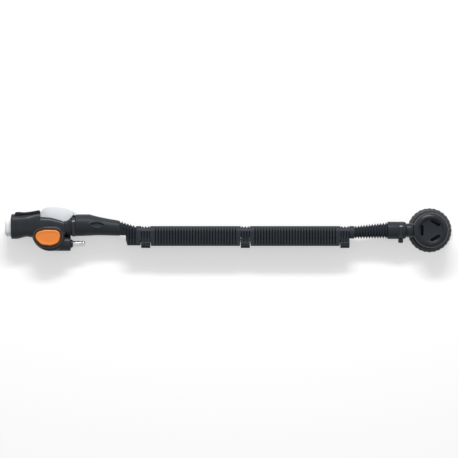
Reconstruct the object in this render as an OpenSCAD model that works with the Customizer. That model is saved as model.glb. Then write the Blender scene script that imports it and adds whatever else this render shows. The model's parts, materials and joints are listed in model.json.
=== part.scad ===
// Power inflator with corrugated hose and shoulder dump valve for a diver's buoyancy jacket.
// The assembly lies on its back: +X runs from the mouthpiece to the dump valve,
// +Y towards the exhaust lever, and +Z out of the face that carries the inflate button.
// Inside the modules x = 0 is the tip of the mouthpiece, y = 0 the axis of the air passage
// and z = 0 the plane of the hose axis. place() moves all that to the middle of the base.

/* [Mouthpiece] */
// Length of the mouthpiece that stands out of the barrel
mouthpiece_l = 9; // [7:0.5:14]
// Height of the oval mouthpiece
mouthpiece_h = 28; // [24:0.5:30]
// Bore of the mouthpiece
mouth_bore_d = 13; // [10:0.5:14]

/* [Inflator body] */
// Length of the barrel, from its lip to the lever
barrel_l = 43.3; // [40:0.5:50]
// Height of the barrel's top over the air passage
barrel_top = 22.6; // [21:0.2:24]
// Length of the neck under the lever
neck_l = 47; // [46:0.5:52]
// Bore of the air passage through the body
passage_d = 9; // [7:0.5:9.6]
// Height of the hose axis over the surface that the part lies on
axis_height = 18; // [17.9:0.1:19]
// Radius of the round underside of the valve housing
housing_r = 27.7; // [26.5:0.1:28.5]
// Height of the housing's front face over its back
housing_depth = 31.5; // [31:0.25:33]

/* [Inflate button] */
// How far the button stands out of its bezel
button_proud = 2.5; // [1.5:0.25:4]
// Travel of the button
button_travel = 3; // [2:0.25:3.5]
// Gap round the button in its bezel
button_gap = 0.4; // [0.3:0.05:0.8]
// Width of the bezel
bezel_w = 2.6; // [2:0.1:3]
// Height of the bezel over the housing
bezel_h = 1.5; // [1:0.1:2]

/* [Exhaust lever] */
// Width of the lever
lever_w = 15; // [13:0.5:16]
// Wall of the lever
lever_wall = 2; // [1.6:0.1:2.4]
// Angle that the lever turns when it is pressed
lever_travel = 7; // [4:0.5:7]
// Diameter of the lever's hinge pin
lever_pin_d = 3; // [2.5:0.1:3.2]

/* [Quick-disconnect nipple] */
// Diameter of the nipple
nipple_d = 8.4; // [8:0.1:9.2]
// Length of the nipple
nipple_l = 18.2; // [16:0.2:22]

/* [Hose] */
// Outside diameter of the corrugated hose
hose_d = 19; // [18.4:0.1:20]
// Bore of the hose
hose_bore_d = 12; // [10:0.5:12.6]
// Distance from one groove to the next
rib_pitch = 4.286; // [4:0.05:5]
// Width of a groove
groove_w = 1.2; // [0.8:0.1:1.6]
// Depth of the grooves in the sides of the hose
groove_depth = 2.2; // [1.5:0.1:2.4]
// Plain length at each end of a grooved span
plain_l = 7.2; // [5:0.2:9]
// Length of a span between two hose keepers
span_l = 135.8; // [100:0.5:160]
// Length of the ribbed root between the inflator cuff and the first keeper
root_l = 31.8; // [30:0.2:36]
// Length of the ribbed tail between the last keeper and the valve cuff
tail_l = 57.1; // [50:0.5:70]
// Ribs on the tail
tail_ribs = 12; // [8:1:14]
// Depth of the V between two ribs of the root and the tail
rib_depth = 2; // [1:0.1:2.3]

/* [Channel and keepers] */
// Distance from the hose axis down to the axis of the low-pressure hose
lane_drop = 17; // [16.6:0.1:18]
// Clear width of the channel for the low-pressure hose
lane_w = 11; // [10:0.2:11.6]
// Height of the channel walls
wall_h = 10.5; // [9:0.1:11.5]
// Depth of the grooves in the channel walls
wall_groove_depth = 1.3; // [0.8:0.1:1.6]
// Length of a keeper's stretch of hose
keeper_l = 13.5; // [12.9:0.1:15]
// Bore of a keeper
keeper_bore_d = 10.2; // [9.6:0.2:10.8]
// Wall of a keeper
keeper_wall = 1.5; // [1.2:0.1:1.8]

/* [Cuffs] */
// Length of the cuff over the inflator
inflator_cuff_l = 72.7; // [66:0.5:80]
// Length of the cuff over the valve's elbow
valve_cuff_l = 28; // [26.5:0.5:34]
// Outside diameter of the valve cuff
valve_cuff_d = 26; // [25:0.2:28]
// Width of the cable ties
tie_w = 4.8; // [3.6:0.2:5]
// Thickness of a cable tie's strap
tie_t = 1.3; // [1:0.1:1.5]

/* [Dump valve] */
// Distance from the end of the valve cuff to the axis of the valve
elbow_l = 36.3; // [35.5:0.1:42]
// Outside radius of the clamp ring
ring_r = 33.3; // [31.5:0.1:35]
// Height of the clamp ring
ring_h = 7.2; // [7:0.05:7.3]
// Grip lobes round the clamp ring
ring_lobes = 28; // [20:4:36]
// Radius of the valve body
valve_r = 26; // [25.6:0.1:26.6]
// Radius of the valve's neck
elbow_r = 10.4; // [9.8:0.1:10.6]
// Height of the valve body over the surface
valve_body_h = 24; // [23.7:0.1:25]
// Height of the cover's crest over the valve body
crest_h = 10.3; // [9:0.1:11]
// Radius of the dish in the cover
dish_r = 18.6; // [17.5:0.1:19]
// Length of a vent slot
slot_l = 15.6; // [12:0.2:17]
// Width of a vent slot
slot_w = 4.2; // [3:0.1:5]
// Lift of the exhaust disc
disc_lift = 2.2; // [1:0.1:2.4]

/* [Hidden] */

// Clearances: between bodies that move apart, of a pin or stem in its bore, and of a piece in its seat
air_gap = 0.3;
running = 0.06;
seat_gap = 0.05;
// A cut runs this far past the face that it opens
past = 1;
round_sides = 64;
ring_sides = 32;

// Stations along the assembly
barrel_x = mouthpiece_l;
neck_x = barrel_x + barrel_l;
cuff_x = neck_x + neck_l;
root_x = cuff_x + inflator_cuff_l;
keeper_pitch = keeper_l + span_l;
keeper_1_x = root_x + root_l;
tail_x = keeper_1_x + 2*keeper_pitch + keeper_l;
valve_cuff_x = tail_x + tail_l;
elbow_x = valve_cuff_x + valve_cuff_l;
valve_x = elbow_x + elbow_l;

// Heights of the axes over the air passage
hose_y = -5;
lane_y = hose_y - lane_drop;
valve_y = -2;

// The hose's arch stands on this flat, from which the channel walls hang
flat_y = hose_y - hose_d/2 - 0.4;
hose_r = hose_d/2;
bore_r = hose_bore_d/2;

// Inflator: rings of the lofted body, each [share of the length, top, bottom, half depth]
barrel_rings = [[0, barrel_top - 1, -14.1, 14.6], [0.03, barrel_top, -15.1, 16], [0.2, barrel_top, -14.9, 16],
    [0.32, barrel_top, -13.8, 16], [0.54, barrel_top + 0.9, -11.7, 15.6], [0.7, barrel_top + 2.1, -12.5, 14.6],
    [0.85, barrel_top + 3.7, -13, 13.6], [1, barrel_top + 4.6, -13, 13.2]];
neck_end_top = 17.7;
neck_end_bottom = -10.1;
neck_rings = [[0.005, 20.3, -13, 12.8], [0.3, 19.4, -12, 12.2], [0.49, 17.5, -11.5, 11.8],
    [0.65, 15.3, -11, 11.4], [0.78, 13.6, -10.8, 11], [0.84, 13.8, -10.6, 11.2], [0.94, 16.4, -10.5, 12.6],
    [1, neck_end_top + 1, neck_end_bottom, 13.9]];
barrel_squareness = 3;
neck_squareness = 3;
spigot_y = 3.6;
spigot_r = 11.5;
spigot_l = 28;
spigot_bore_r = 8;

// The saddle's seat is a plane across the barrel's shoulders, rising towards the lever
saddle_x = barrel_x + 5.5;
saddle_l = barrel_l - 5.5;
saddle_seat_y = 19.9;
saddle_slope = 5;
saddle_w = 21;

// Inflate button: the three arcs of its outline, each [x, y, radius]
button_arcs = [[neck_x + 1.3, -11.3, 9.7], [neck_x + 22.3, -9.6, 8.6], [neck_x + 15.7, -15.3, 10.3]];
housing_x = neck_x + 15.4;
housing_y = -5.3;
button_stem_x = neck_x + 15.2;
button_stem_y = -13;
housing_front = housing_depth - axis_height;
bezel_top = housing_front + bezel_h;
button_top = bezel_top + button_proud;
flange_t = 1.5;
flange_top = housing_front - air_gap;
well_floor = flange_top - flange_t - button_travel - air_gap;
button_spring_r = 4.3;
button_spring_floor = -0.5;
stem_guide_floor = -9;
stem_chamber_floor = -12;
stem_chamber_top = -6;
stem_r = 2;
stem_head_r = 3.6;
stem_head_t = 1;

// Exhaust lever: side outline, each [share of the reach from the pivot, height over the pivot]
pivot_x = cuff_x - 4.8;
pivot_y = 17;
lever_reach = pivot_x - neck_x - 0.6;
lever_top = 16.1;
lever_outline = [[-1, -0.5], [-0.983, 7.7], [-0.93, 11.8], [-0.83, 15], [-0.72, 15.9], [-0.59, lever_top],
    [-0.3, 15.6], [-0.085, 14.1], [0.13, 11], [0.25, 7.6], [0.255, 5.9], [0.2, 4.6], [0.105, 1.2], [0.06, -3.8],
    [-0.02, -6.8], [-0.11, -7.8], [-0.23, -6.2], [-0.44, -3.2], [-0.66, -1.2]];
trough_floor = 8;
trough_w = lever_w + 2*air_gap;
lug_w = lever_w - 2*lever_wall - 4;
exhaust_arm = 25;
exhaust_x = pivot_x - exhaust_arm;
exhaust_stem_d = 3;
exhaust_stem_top = 20;
chamber_r = 7;
chamber_top = 5;
chamber_floor = -6;
poppet_r = 5.8;

// Cuffs and ties
tie_inflator_x = cuff_x + 1.1;
tie_inflator_y = 4.4;
tie_seat_r = 14.4;
// Radii between which a tie's head stands, clear of the cuff's shoulder under it
tie_inflator_head = [17.6, 20.6];
tie_valve_head = [valve_cuff_d/2 + 0.2, valve_cuff_d/2 + 5.8];
tie_head_l = 7.2;
tie_head_w = 6;
tie_valve_x = valve_cuff_x + 17.4;
tie_valve_seat_r = valve_cuff_d/2 - tie_t + 0.1;
elbow_spigot_r = 8.5;
elbow_spigot_l = 22;

// Dump valve: heights over the surface
gasket_z = 3;
gasket_t = 1.3;
base_flange_t = 1.3;
base_flange_r = valve_r + 1.8;
thread_r = base_flange_r + 0.7;
thread_l = 2.8;
lip_z = gasket_z + gasket_t + base_flange_t + air_gap;
seat_plate_z = valve_body_h - 4;
seat_plate_t = 2;
cavity_r = valve_r - 3;
cover_r = valve_r + 0.5;
plate_bottom = valve_body_h + crest_h - 5.6;
plate_t = 2;
slot_r = 13.4;
slot_angles = [60, 180, 300];
disc_seal_z = seat_plate_z + seat_plate_t + 0.2;
disc_z = disc_seal_z + 1;
disc_t = 1.2;

// The middle of the base
x_max = valve_x + ring_r;
y_max = pivot_y + lever_top;
y_min = min(valve_y - ring_r, lane_y - boss_r());
mid_x = x_max/2;
mid_y = (y_max + y_min)/2;

function boss_r() = housing_r + lane_y - housing_y;
function mix(a, b, t) = a + (b - a)*t;
function spow(v, p) = sign(v)*pow(abs(v), p);
function unit(t) = max(0, min(1, t));

// A ring of n points at x: a superellipse between top and bottom, of the given half depth
function oval(x, top, bottom, half, squareness = 2, n = ring_sides) =
    [for (i = [0:n - 1]) let (a = 360*i/n)
        [x, (top + bottom)/2 + (top - bottom)/2*spow(cos(a), 2/squareness), half*spow(sin(a), 2/squareness)]];

// A ring of the arch: round on top, its lower half a circle of swell*r cut by flat sides and a flat bottom
function arch(x, y, r, bottom, swell, n = ring_sides) =
    [for (i = [0:n - 1]) let (a = 360*i/n, low = cos(a) < -0.001, k = low ? swell : 1)
        [x, low ? max(bottom, y + k*r*cos(a)) : y + r*cos(a), max(-r, min(r, k*r*sin(a)))]];

// Side faces between successive rings of n points that start at index start, and the two end faces
function side_faces(count, n, start, outward) =
    [for (k = [0:count - 2], i = [0:n - 1])
        let (a = start + k*n + i, b = start + k*n + (i + 1)%n, c = b + n, d = a + n)
        each outward ? [[a, c, b], [a, d, c]] : [[a, b, c], [a, c, d]]];

// Solid through rings along +X
module skin(rings) {
    n = len(rings[0]);
    last = (len(rings) - 1)*n;
    polyhedron(points = [for (r = rings) each r],
        faces = concat(side_faces(len(rings), n, 0, true),
            [for (i = [1:n - 2]) [0, i, i + 1]],
            [for (i = [1:n - 2]) [last, last + i + 1, last + i]]));
}

// Tube between outer rings and inner rings of as many points, closed by an annulus at each end
module tube_skin(outer, inner) {
    n = len(outer[0]);
    start = len(outer)*n;
    out_end = (len(outer) - 1)*n;
    in_end = start + (len(inner) - 1)*n;
    polyhedron(points = concat([for (r = outer) each r], [for (r = inner) each r]),
        faces = concat(side_faces(len(outer), n, 0, true), side_faces(len(inner), n, start, false),
            [for (i = [0:n - 1]) let (j = (i + 1)%n) each [[i, j, start + j], [i, start + j, start + i]]],
            [for (i = [0:n - 1]) let (j = (i + 1)%n)
                each [[out_end + i, in_end + j, out_end + j], [out_end + i, in_end + i, in_end + j]]]));
}

module place() {
    translate([-mid_x, -mid_y, axis_height]) children();
}

// A cylinder along +X, and one along -Y
module rod_x(x, y, r, l) {
    translate([x, y, 0]) rotate([0, 90, 0]) cylinder(r = r, h = l, $fn = round_sides);
}

module rod_down(x, y, r, l) {
    translate([x, y, 0]) rotate([90, 0, 0]) cylinder(r = r, h = l, $fn = round_sides);
}

// A profile of [radius, x] points turned about a line along +X
module turned_x(x, y, profile) {
    translate([x, y, 0]) rotate([0, 90, 0]) rotate_extrude($fn = round_sides) polygon(profile);
}

// A profile of [radius, height] points turned about the valve's axis, with heights over the surface
module turned_valve(profile) {
    at_valve() rotate_extrude($fn = 2*round_sides) polygon(profile);
}

module at_valve() {
    translate([valve_x, valve_y, -axis_height]) children();
}

// A section of [y, z] shapes carried along +X
module along_x(x, l) {
    translate([x, 0, 0]) rotate([90, 0, 90]) linear_extrude(l) children();
}

// An outline of [x, y] shapes carried through the middle plane to a width
module across(width) {
    translate([0, 0, -width/2]) linear_extrude(width) children();
}

// The button's outline grown by margin, from z0 to z1, with its upper edge drawn in by chamfer
module button_form(margin, z0, z1, chamfer = 0) {
    hull() for (arc = button_arcs) translate([arc[0], arc[1], z0]) {
        cylinder(r = arc[2] + margin, h = z1 - z0 - chamfer, $fn = round_sides);
        cylinder(r = arc[2] + margin - chamfer, h = z1 - z0, $fn = round_sides);
    }
}

// A compression spring along +Z whose turns run from the floor to the top
module coil_spring(r, wire, turns, h) {
    steps = 12;
    sides = 6;
    rise = (h - wire)/turns;
    rings = [for (k = [0:turns*steps]) let (a = 360*k/steps)
        [for (i = [0:sides - 1]) let (b = 360*i/sides, q = r + wire/2*cos(b))
            [q*cos(a), q*sin(a), wire/2 + rise*k/steps + wire/2*sin(b)]]];
    last = turns*steps*sides;
    polyhedron(points = [for (ring = rings) each ring],
        faces = concat(side_faces(len(rings), sides, 0, false),
            [for (i = [1:sides - 2]) [0, i + 1, i]],
            [for (i = [1:sides - 2]) [last, last + i, last + i + 1]]));
}

module mouthpiece() {
    color("gainsboro") place() difference() {
        union() {
            half = mouthpiece_h/2 - 3.6;
            top = 2.5 + mouthpiece_h/2;
            bottom = 2.5 - mouthpiece_h/2;
            skin([oval(0, top - 1.4, bottom + 3.2, half - 1.4, 2.6), oval(1.2, top, bottom + 1.4, half, 2.6),
                oval(3.2, top, bottom, half, 2.6), oval(4, top - 1, bottom + 1, half - 1, 2.6),
                oval(5, top - 1, bottom + 1, half - 1, 2.6), oval(5.8, top, bottom, half, 2.6),
                oval(mouthpiece_l, top, bottom, half, 2.6)]);
            rod_x(mouthpiece_l - past, 0, mouth_bore_d/2 + 2, 7 + past);
        }
        rod_x(-past, 0, mouth_bore_d/2, mouthpiece_l + 8 + past);
    }
}

module inflator_body() {
    color("#2b2d30") place() difference() {
        union() {
            skin([for (r = barrel_rings) oval(barrel_x + r[0]*barrel_l, r[1], r[2], r[3], barrel_squareness)]);
            skin([for (r = neck_rings) oval(neck_x + (r[0] - 0.005)/0.995*neck_l, r[1], r[2], r[3], neck_squareness)]);
            button_form(bezel_w + 1.2, -axis_height + 2, housing_front, 1);
            housing_bulge();
            intersection() {
                rod_x(housing_x, lane_y, boss_r(), cuff_x - 1.1 - housing_x);
                translate([0, lane_y - boss_r(), -axis_height]) cube([cuff_x, 2*boss_r(), housing_depth]);
            }
        }
        // The saddle's seat across the shoulders
        translate([saddle_x, saddle_seat_y, 0]) rotate([0, 0, saddle_slope])
            translate([0, 0, -25]) cube([saddle_l + 2*past, 12, 50]);
        // Lever trough
        translate([neck_x, trough_floor, -trough_w/2]) cube([neck_l + past, 30, trough_w]);
        // Air passage, mouthpiece socket and exhaust chamber
        rod_x(barrel_x + past, 0, passage_d/2, barrel_l + neck_l);
        rod_x(barrel_x - past, 0, mouth_bore_d/2 + 2 + seat_gap, 7 + past + seat_gap);
        rod_down(exhaust_x, chamber_top, chamber_r, chamber_top - chamber_floor);
        rod_down(exhaust_x, trough_floor + past, exhaust_stem_d/2 + running, trough_floor - chamber_top + 2*past);
        // Button well, its spring's pocket, the stem's guide and the valve chamber
        button_form(flange_overlap() + button_gap, well_floor, housing_front + past);
        stem_bore(button_spring_r + 1, button_spring_floor, well_floor + past);
        stem_bore(stem_r + running, stem_guide_floor, button_spring_floor + past);
        stem_bore(stem_head_r + 0.9, stem_chamber_floor, stem_chamber_top);
    }
    // Lug for the lever's hinge pin
    color("#2b2d30") place() difference() {
        union() {
            across(lug_w) translate([pivot_x, pivot_y]) circle(r = lever_pin_d/2 + 2, $fn = round_sides);
            across(lug_w) translate([pivot_x - lever_pin_d/2 - 2, trough_floor - past])
                square([lever_pin_d + 4, pivot_y - trough_floor + past]);
        }
        translate([pivot_x, pivot_y, -lug_w]) cylinder(r = lever_pin_d/2 + running, h = 2*lug_w, $fn = round_sides);
    }
}

function flange_overlap() = 1;

// The round underside of the valve housing, below the barrel, with chamfered rims
module housing_bulge() {
    depth = housing_depth - 2;
    rim = 3;
    intersection() {
        translate([housing_x, housing_y, -axis_height]) rotate_extrude($fn = 2*round_sides)
            polygon([[0, 0], [housing_r - rim, 0], [housing_r, rim], [housing_r, depth - rim],
                [housing_r - rim, depth], [0, depth]]);
        translate([housing_x - 2*housing_r, housing_y - 2*housing_r, -2*axis_height])
            cube([4*housing_r, 2*housing_r, 4*axis_height]);
    }
}

module stem_bore(r, z0, z1) {
    translate([button_stem_x, button_stem_y, z0]) cylinder(r = r, h = z1 - z0, $fn = round_sides);
}

module thumb_saddle() {
    rise = tan(saddle_slope)*saddle_l;
    end = saddle_seat_y + rise;
    color("#3a3c3f") place() intersection() {
        across(saddle_w) polygon([[saddle_x, saddle_seat_y], [saddle_x + saddle_l - 0.2, end],
            [saddle_x + saddle_l - 0.2, end + 3.2], [saddle_x + saddle_l - 2.5, end + 4.9],
            [saddle_x + saddle_l - 8, end + 4], [saddle_x + saddle_l*0.62, end + 2.8],
            [saddle_x + saddle_l*0.36, end + 2], [saddle_x + saddle_l*0.14, end + 2.4],
            [saddle_x + saddle_l*0.06, end + 2.6], [saddle_x + 0.8, end + 1.6]]);
        along_x(saddle_x - past, saddle_l + 2*past) union() {
            translate([0, -saddle_w/2]) square([end + 1.5, saddle_w]);
            translate([0, -saddle_w/2 + 4]) square([end + 8, saddle_w - 8]);
            for (side = [-1, 1]) translate([end + 1.5, side*(saddle_w/2 - 4)]) circle(r = 4, $fn = round_sides);
        }
    }
}

module button_bezel() {
    color("#6f7276") place() difference() {
        button_form(bezel_w, housing_front, bezel_top, 0.8);
        button_form(button_gap, housing_front - past, bezel_top + past);
    }
}

module inflate_button() {
    color("#e8641e") place() union() {
        button_form(0, flange_top - flange_t, button_top, 1.2);
        button_form(flange_overlap(), flange_top - flange_t, flange_top);
    }
}

module inflate_stem() {
    color("silver") place() union() {
        head_top = stem_chamber_top - air_gap;
        stem_bore(stem_r, head_top - stem_head_t/2, flange_top - flange_t);
        stem_bore(stem_head_r, head_top - stem_head_t, head_top);
    }
}

module button_spring() {
    floor_z = button_spring_floor + 0.1;
    color("lightgray") place() translate([button_stem_x, button_stem_y, floor_z])
        coil_spring(button_spring_r - 0.5, 0.8, 4, flange_top - flange_t - floor_z - 0.1);
}

module lever_side() {
    translate([pivot_x, pivot_y]) polygon([for (p = lever_outline) [p[0]*lever_reach, p[1]]]);
}

module exhaust_lever() {
    inner = lever_w - 2*lever_wall;
    color("#dee2e9") place() difference() {
        union() {
            difference() {
                across(lever_w) lever_side();
                across(inner) offset(delta = -lever_wall) lever_side();
                // Open underside behind the front wall
                translate([pivot_x - lever_reach + lever_wall, trough_floor, -inner/2])
                    cube([neck_l + 8, pivot_y - trough_floor + lever_wall, inner]);
                translate([pivot_x - lever_pin_d/2 - 3, trough_floor, -inner/2])
                    cube([lever_pin_d + 6, pivot_y - trough_floor + 5, inner]);
            }
            // Post over the exhaust stem
            rod_down(exhaust_x, pivot_y + 14, exhaust_stem_d/2 + 1, pivot_y + 14 - exhaust_stem_top - air_gap);
        }
        // Sockets for the hinge pin in the inside of both walls
        translate([pivot_x, pivot_y, -inner/2 - lever_wall/2])
            cylinder(r = lever_pin_d/2, h = inner + lever_wall, $fn = round_sides);
        // Room for the cuff and its tie as the lever turns
        rod_x(cuff_x - 0.8, tie_inflator_y, tie_seat_r + tie_t + air_gap + 0.2, 20);
    }
}

module lever_pin() {
    inner = lever_w - 2*lever_wall;
    color("silver") place() translate([pivot_x, pivot_y, -inner/2 - lever_wall/2])
        cylinder(r = lever_pin_d/2, h = inner + lever_wall, $fn = round_sides);
}

module exhaust_stem() {
    tip_r = exhaust_stem_d/2;
    color("silver") place() union() {
        rod_down(exhaust_x, exhaust_stem_top - tip_r, tip_r, exhaust_stem_top - tip_r - chamber_top + 3);
        translate([exhaust_x, exhaust_stem_top - tip_r, 0]) rotate([90, 0, 0])
            sphere(r = tip_r, $fn = round_sides);
        rod_down(exhaust_x, chamber_top - 1.6, poppet_r, 1.2);
    }
}

module exhaust_seal() {
    color("#1d1e20") place() difference() {
        rod_down(exhaust_x, chamber_top - air_gap, poppet_r, 1.3);
        rod_down(exhaust_x, chamber_top, exhaust_stem_d/2, 4);
    }
}

module exhaust_spring() {
    color("lightgray") place() translate([exhaust_x, chamber_floor + 0.1, 0]) rotate([-90, 0, 0])
        coil_spring(poppet_r - 1.4, 0.7, 3, chamber_top - 2.8 - chamber_floor - 0.2);
}

module nipple_collar() {
    color("#222326") place() turned_x(cuff_x - 1.1, lane_y, [[0, 0], [6.4, 0], [6.4, 1.4], [5.6, 1.4],
        [5.6, 2.8], [0, 2.8]]);
}

module qd_nipple() {
    r = nipple_d/2;
    tip = nipple_l;
    color("#c9cbce") place() turned_x(cuff_x + 1.7, lane_y, [[1.8, 0], [r, 0], [r, tip - 7.4], [r - 0.8, tip - 6.8],
        [r - 0.8, tip - 4.6], [r, tip - 4], [r, tip - 1.2], [r - 1, tip], [1.8, tip]]);
}

module hose_spigot() {
    r = spigot_r;
    color("#2b2d30") place() turned_x(cuff_x, spigot_y, [[spigot_bore_r, 0], [r, 0], [r, 9], [r - 0.8, 9], [r, 13],
        [r, 15], [r - 0.8, 15], [r, 19], [r, 21], [r - 0.8, 21], [r, 25], [r - 1.5, spigot_l], [spigot_bore_r, spigot_l]]);
}

// The start of the ribbed root: height of its axis, and its radius
root_start_y = 1.1;
root_start_r = 11.1;

// The cuff's panel: height of its floor over the axis, its own height, and the arcs that bound it
panel_floor = 14.7;
panel_h = 7.6;
panel_arc_r = 19.2;

module cuff_inflator() {
    seat_start = tie_inflator_x - seat_gap;
    end = tie_inflator_x + tie_w + seat_gap;
    seat_top = tie_inflator_y + tie_seat_r;
    seat_bottom = tie_inflator_y - tie_seat_r;
    l = inflator_cuff_l;
    start_top = root_start_y + root_start_r;
    start_bottom = root_start_y - root_start_r;
    outer = [[cuff_x, neck_end_top, neck_end_bottom], [seat_start, seat_top, seat_bottom],
        [end, seat_top, seat_bottom], [end + 0.1, 21.4, -10.5], [end + 1, 22, -10.6],
        [cuff_x + 0.35*l, 22, -10.2], [cuff_x + 0.46*l, 20.2, -9.7], [cuff_x + 0.58*l, 18.1, -9.5],
        [cuff_x + 0.8*l, 14.9, -9.8], [cuff_x + 0.97*l, start_top + 0.5, start_bottom - 0.1],
        [root_x, start_top - 0.4, start_bottom + 0.3]];
    bore = (spigot_r + seat_gap)/cos(180/ring_sides);
    inner = [[cuff_x, spigot_y, bore], [cuff_x + spigot_l + 1, spigot_y, bore],
        [cuff_x + spigot_l + 9, spigot_y - 1, bore_r + 1], [root_x, root_start_y, bore_r]];
    color("#303235") place() difference() {
        tube_skin([for (r = outer) oval(r[0], r[1], r[2], (r[1] - r[2])/2)],
            [for (r = inner) oval(r[0], r[1] + r[2], r[1] - r[2], r[2])]);
        // Bare pointed panel let into the front of the cuff
        translate([cuff_x + 0.53*l, 6, panel_floor]) rotate([0, 2, 0]) intersection_for (side = [-1, 1])
            translate([0, side*(panel_arc_r - panel_h/2), 0]) cylinder(r = panel_arc_r, h = 5, $fn = 2*round_sides);
    }
}

// A cable tie: its strap, a neck as wide as the strap, and a head between the two radii
module tie(x, y, r, head, head_angle) {
    neck = r + tie_t/2;
    turned_x(x, y, [[r, 0], [r + tie_t, 0], [r + tie_t, tie_w], [r, tie_w]]);
    translate([x + tie_w/2, y, 0]) rotate([head_angle, 0, 0]) {
        translate([-tie_w/2, neck, -tie_head_w/2]) cube([tie_w, head[1] - neck, tie_head_w]);
        translate([-tie_head_l/2, head[0], -tie_head_w/2]) cube([tie_head_l, head[1] - head[0], tie_head_w]);
    }
}

module tie_inflator() {
    color("#151618") place() tie(tie_inflator_x, tie_inflator_y, tie_seat_r + seat_gap, tie_inflator_head, -45);
}

module tie_valve() {
    color("#151618") place() tie(tie_valve_x, valve_y, tie_valve_seat_r + seat_gap, tie_valve_head, 180);
}

// The root turns from the round cuff into the hose's arch: ribs as pairs of rings, valley then crest
module hose_root() {
    ribs = 6;
    ribbed = root_l - 6;
    outer = [for (k = [0:2*ribs]) let (t = k/(2*ribs), valley = k%2 == 0, y = mix(root_start_y, hose_y, t),
        r = mix(root_start_r, hose_r, t) - (valley ? rib_depth : 0),
        bottom = t < 0.34 ? mix(root_start_y - root_start_r, -11.5, t/0.34) : flat_y)
        arch(root_x + ribbed*t, y, r, bottom, mix(1, 1.45, unit(t/0.3)))];
    last = [for (x = [root_x + ribbed + 0.8, keeper_1_x]) arch(x, hose_y, hose_r, flat_y, 1.45)];
    inner = [[root_x, root_start_y], [root_x + ribbed, hose_y], [keeper_1_x, hose_y]];
    color("#2e3033") place() tube_skin(concat(outer, last),
        [for (p = inner) oval(p[0], p[1] + bore_r, p[1] - bore_r, bore_r)]);
}

module hose_tail() {
    crest = valve_cuff_d/2 - 0.6;
    plain = 7.5;
    ribbed = tail_l - plain;
    steps = 2*tail_ribs;
    outer = concat([for (x = [tail_x, tail_x + plain]) oval(x, hose_y + hose_r, hose_y - hose_r, hose_r)],
        [for (k = [1:steps]) let (t = k/steps, y = mix(hose_y, valve_y, t),
            r = mix(hose_r + 0.4, crest, t) - (k%2 == 0 ? rib_depth : 0))
            oval(tail_x + plain + ribbed*t, y + r, y - r, r)]);
    inner = [[tail_x, hose_y], [tail_x + plain, hose_y], [valve_cuff_x, valve_y]];
    color("#2e3033") place() tube_skin(outer,
        [for (p = inner) oval(p[0], p[1] + bore_r, p[1] - bore_r, bore_r)]);
}

groove_count = floor((span_l - 2*plain_l - groove_w)/rib_pitch) + 1;
first_groove = (span_l - (groove_count - 1)*rib_pitch - groove_w)/2;

// Edge in x and z of one side of a grooved stretch: a straight line at half_w with grooves let into it
function comb_edge(l, half_w, depth, count, first) = concat([[0, half_w]],
    [for (i = [0:count - 1]) let (x = first + i*rib_pitch)
        each [[x, half_w], [x, half_w - depth], [x + groove_w, half_w - depth], [x + groove_w, half_w]]],
    [[l, half_w]]);

// The same edge run back along the other side
function far_edge(edge) = [for (i = [len(edge) - 1:-1:0]) [edge[i][0], -edge[i][1]]];

// One wall of the channel, from its inner face out to its grooved edge
module wall_comb(l, count, first) {
    polygon(concat([[0, lane_w/2]], comb_edge(l, hose_r, wall_groove_depth, count, first), [[l, lane_w/2]]));
}

// An outline in x and z carried down from y_top to y_bottom
module comb_down(x, y_top, y_bottom) {
    translate([x, y_top, 0]) rotate([90, 0, 0]) linear_extrude(y_top - y_bottom) children();
}

module hose_span(x) {
    edge = comb_edge(span_l, hose_r, groove_depth, groove_count, first_groove);
    color("#2e3033") place() difference() {
        intersection() {
            along_x(x, span_l) union() {
                translate([hose_y, 0]) circle(r = hose_r, $fn = 2*round_sides);
                translate([flat_y, -hose_r]) square([hose_y - flat_y, hose_d]);
            }
            comb_down(x, hose_y + hose_r + past, flat_y - past) polygon(concat(edge, far_edge(edge)));
        }
        rod_x(x - past, hose_y, bore_r, span_l + 2*past);
    }
}

module channel_walls(x) {
    color("#2e3033") place() for (side = [0, 1])
        comb_down(x, flat_y, flat_y - wall_h) mirror([0, side]) wall_comb(span_l, groove_count, first_groove);
}

// The short walls before the first keeper, with their raked leading edge
module channel_lip() {
    l = 21;
    count = 3;
    rake = atan(2.2/wall_h);
    color("#2e3033") place() difference() {
        for (side = [0, 1]) comb_down(keeper_1_x - l, flat_y, flat_y - wall_h + 0.8)
            mirror([0, side]) wall_comb(l, count, 2.6);
        translate([keeper_1_x - l, flat_y, -hose_d]) rotate([0, 0, rake])
            translate([-10, -2*wall_h, 0]) cube([10, 2*wall_h, 2*hose_d]);
    }
}

// The stretch of hose over a keeper: a round tube with V ribs, on a pad that carries the keeper
module keeper_hose(x) {
    teeth = 3;
    pitch = keeper_l/teeth;
    valley = hose_r - 1.9;
    color("#2a2c2f") place() difference() {
        union() {
            turned_x(x, hose_y, concat([[0, 0]],
                [for (i = [0:teeth - 1]) each [[valley, i*pitch], [hose_r - 0.1, (i + 0.5)*pitch]]],
                [[valley, keeper_l], [0, keeper_l]]));
            translate([x, flat_y, -pad_w/2]) cube([keeper_l, hose_y - flat_y, pad_w]);
        }
        rod_x(x - past, hose_y, bore_r, keeper_l + 2*past);
    }
}

pad_w = 10;

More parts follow.
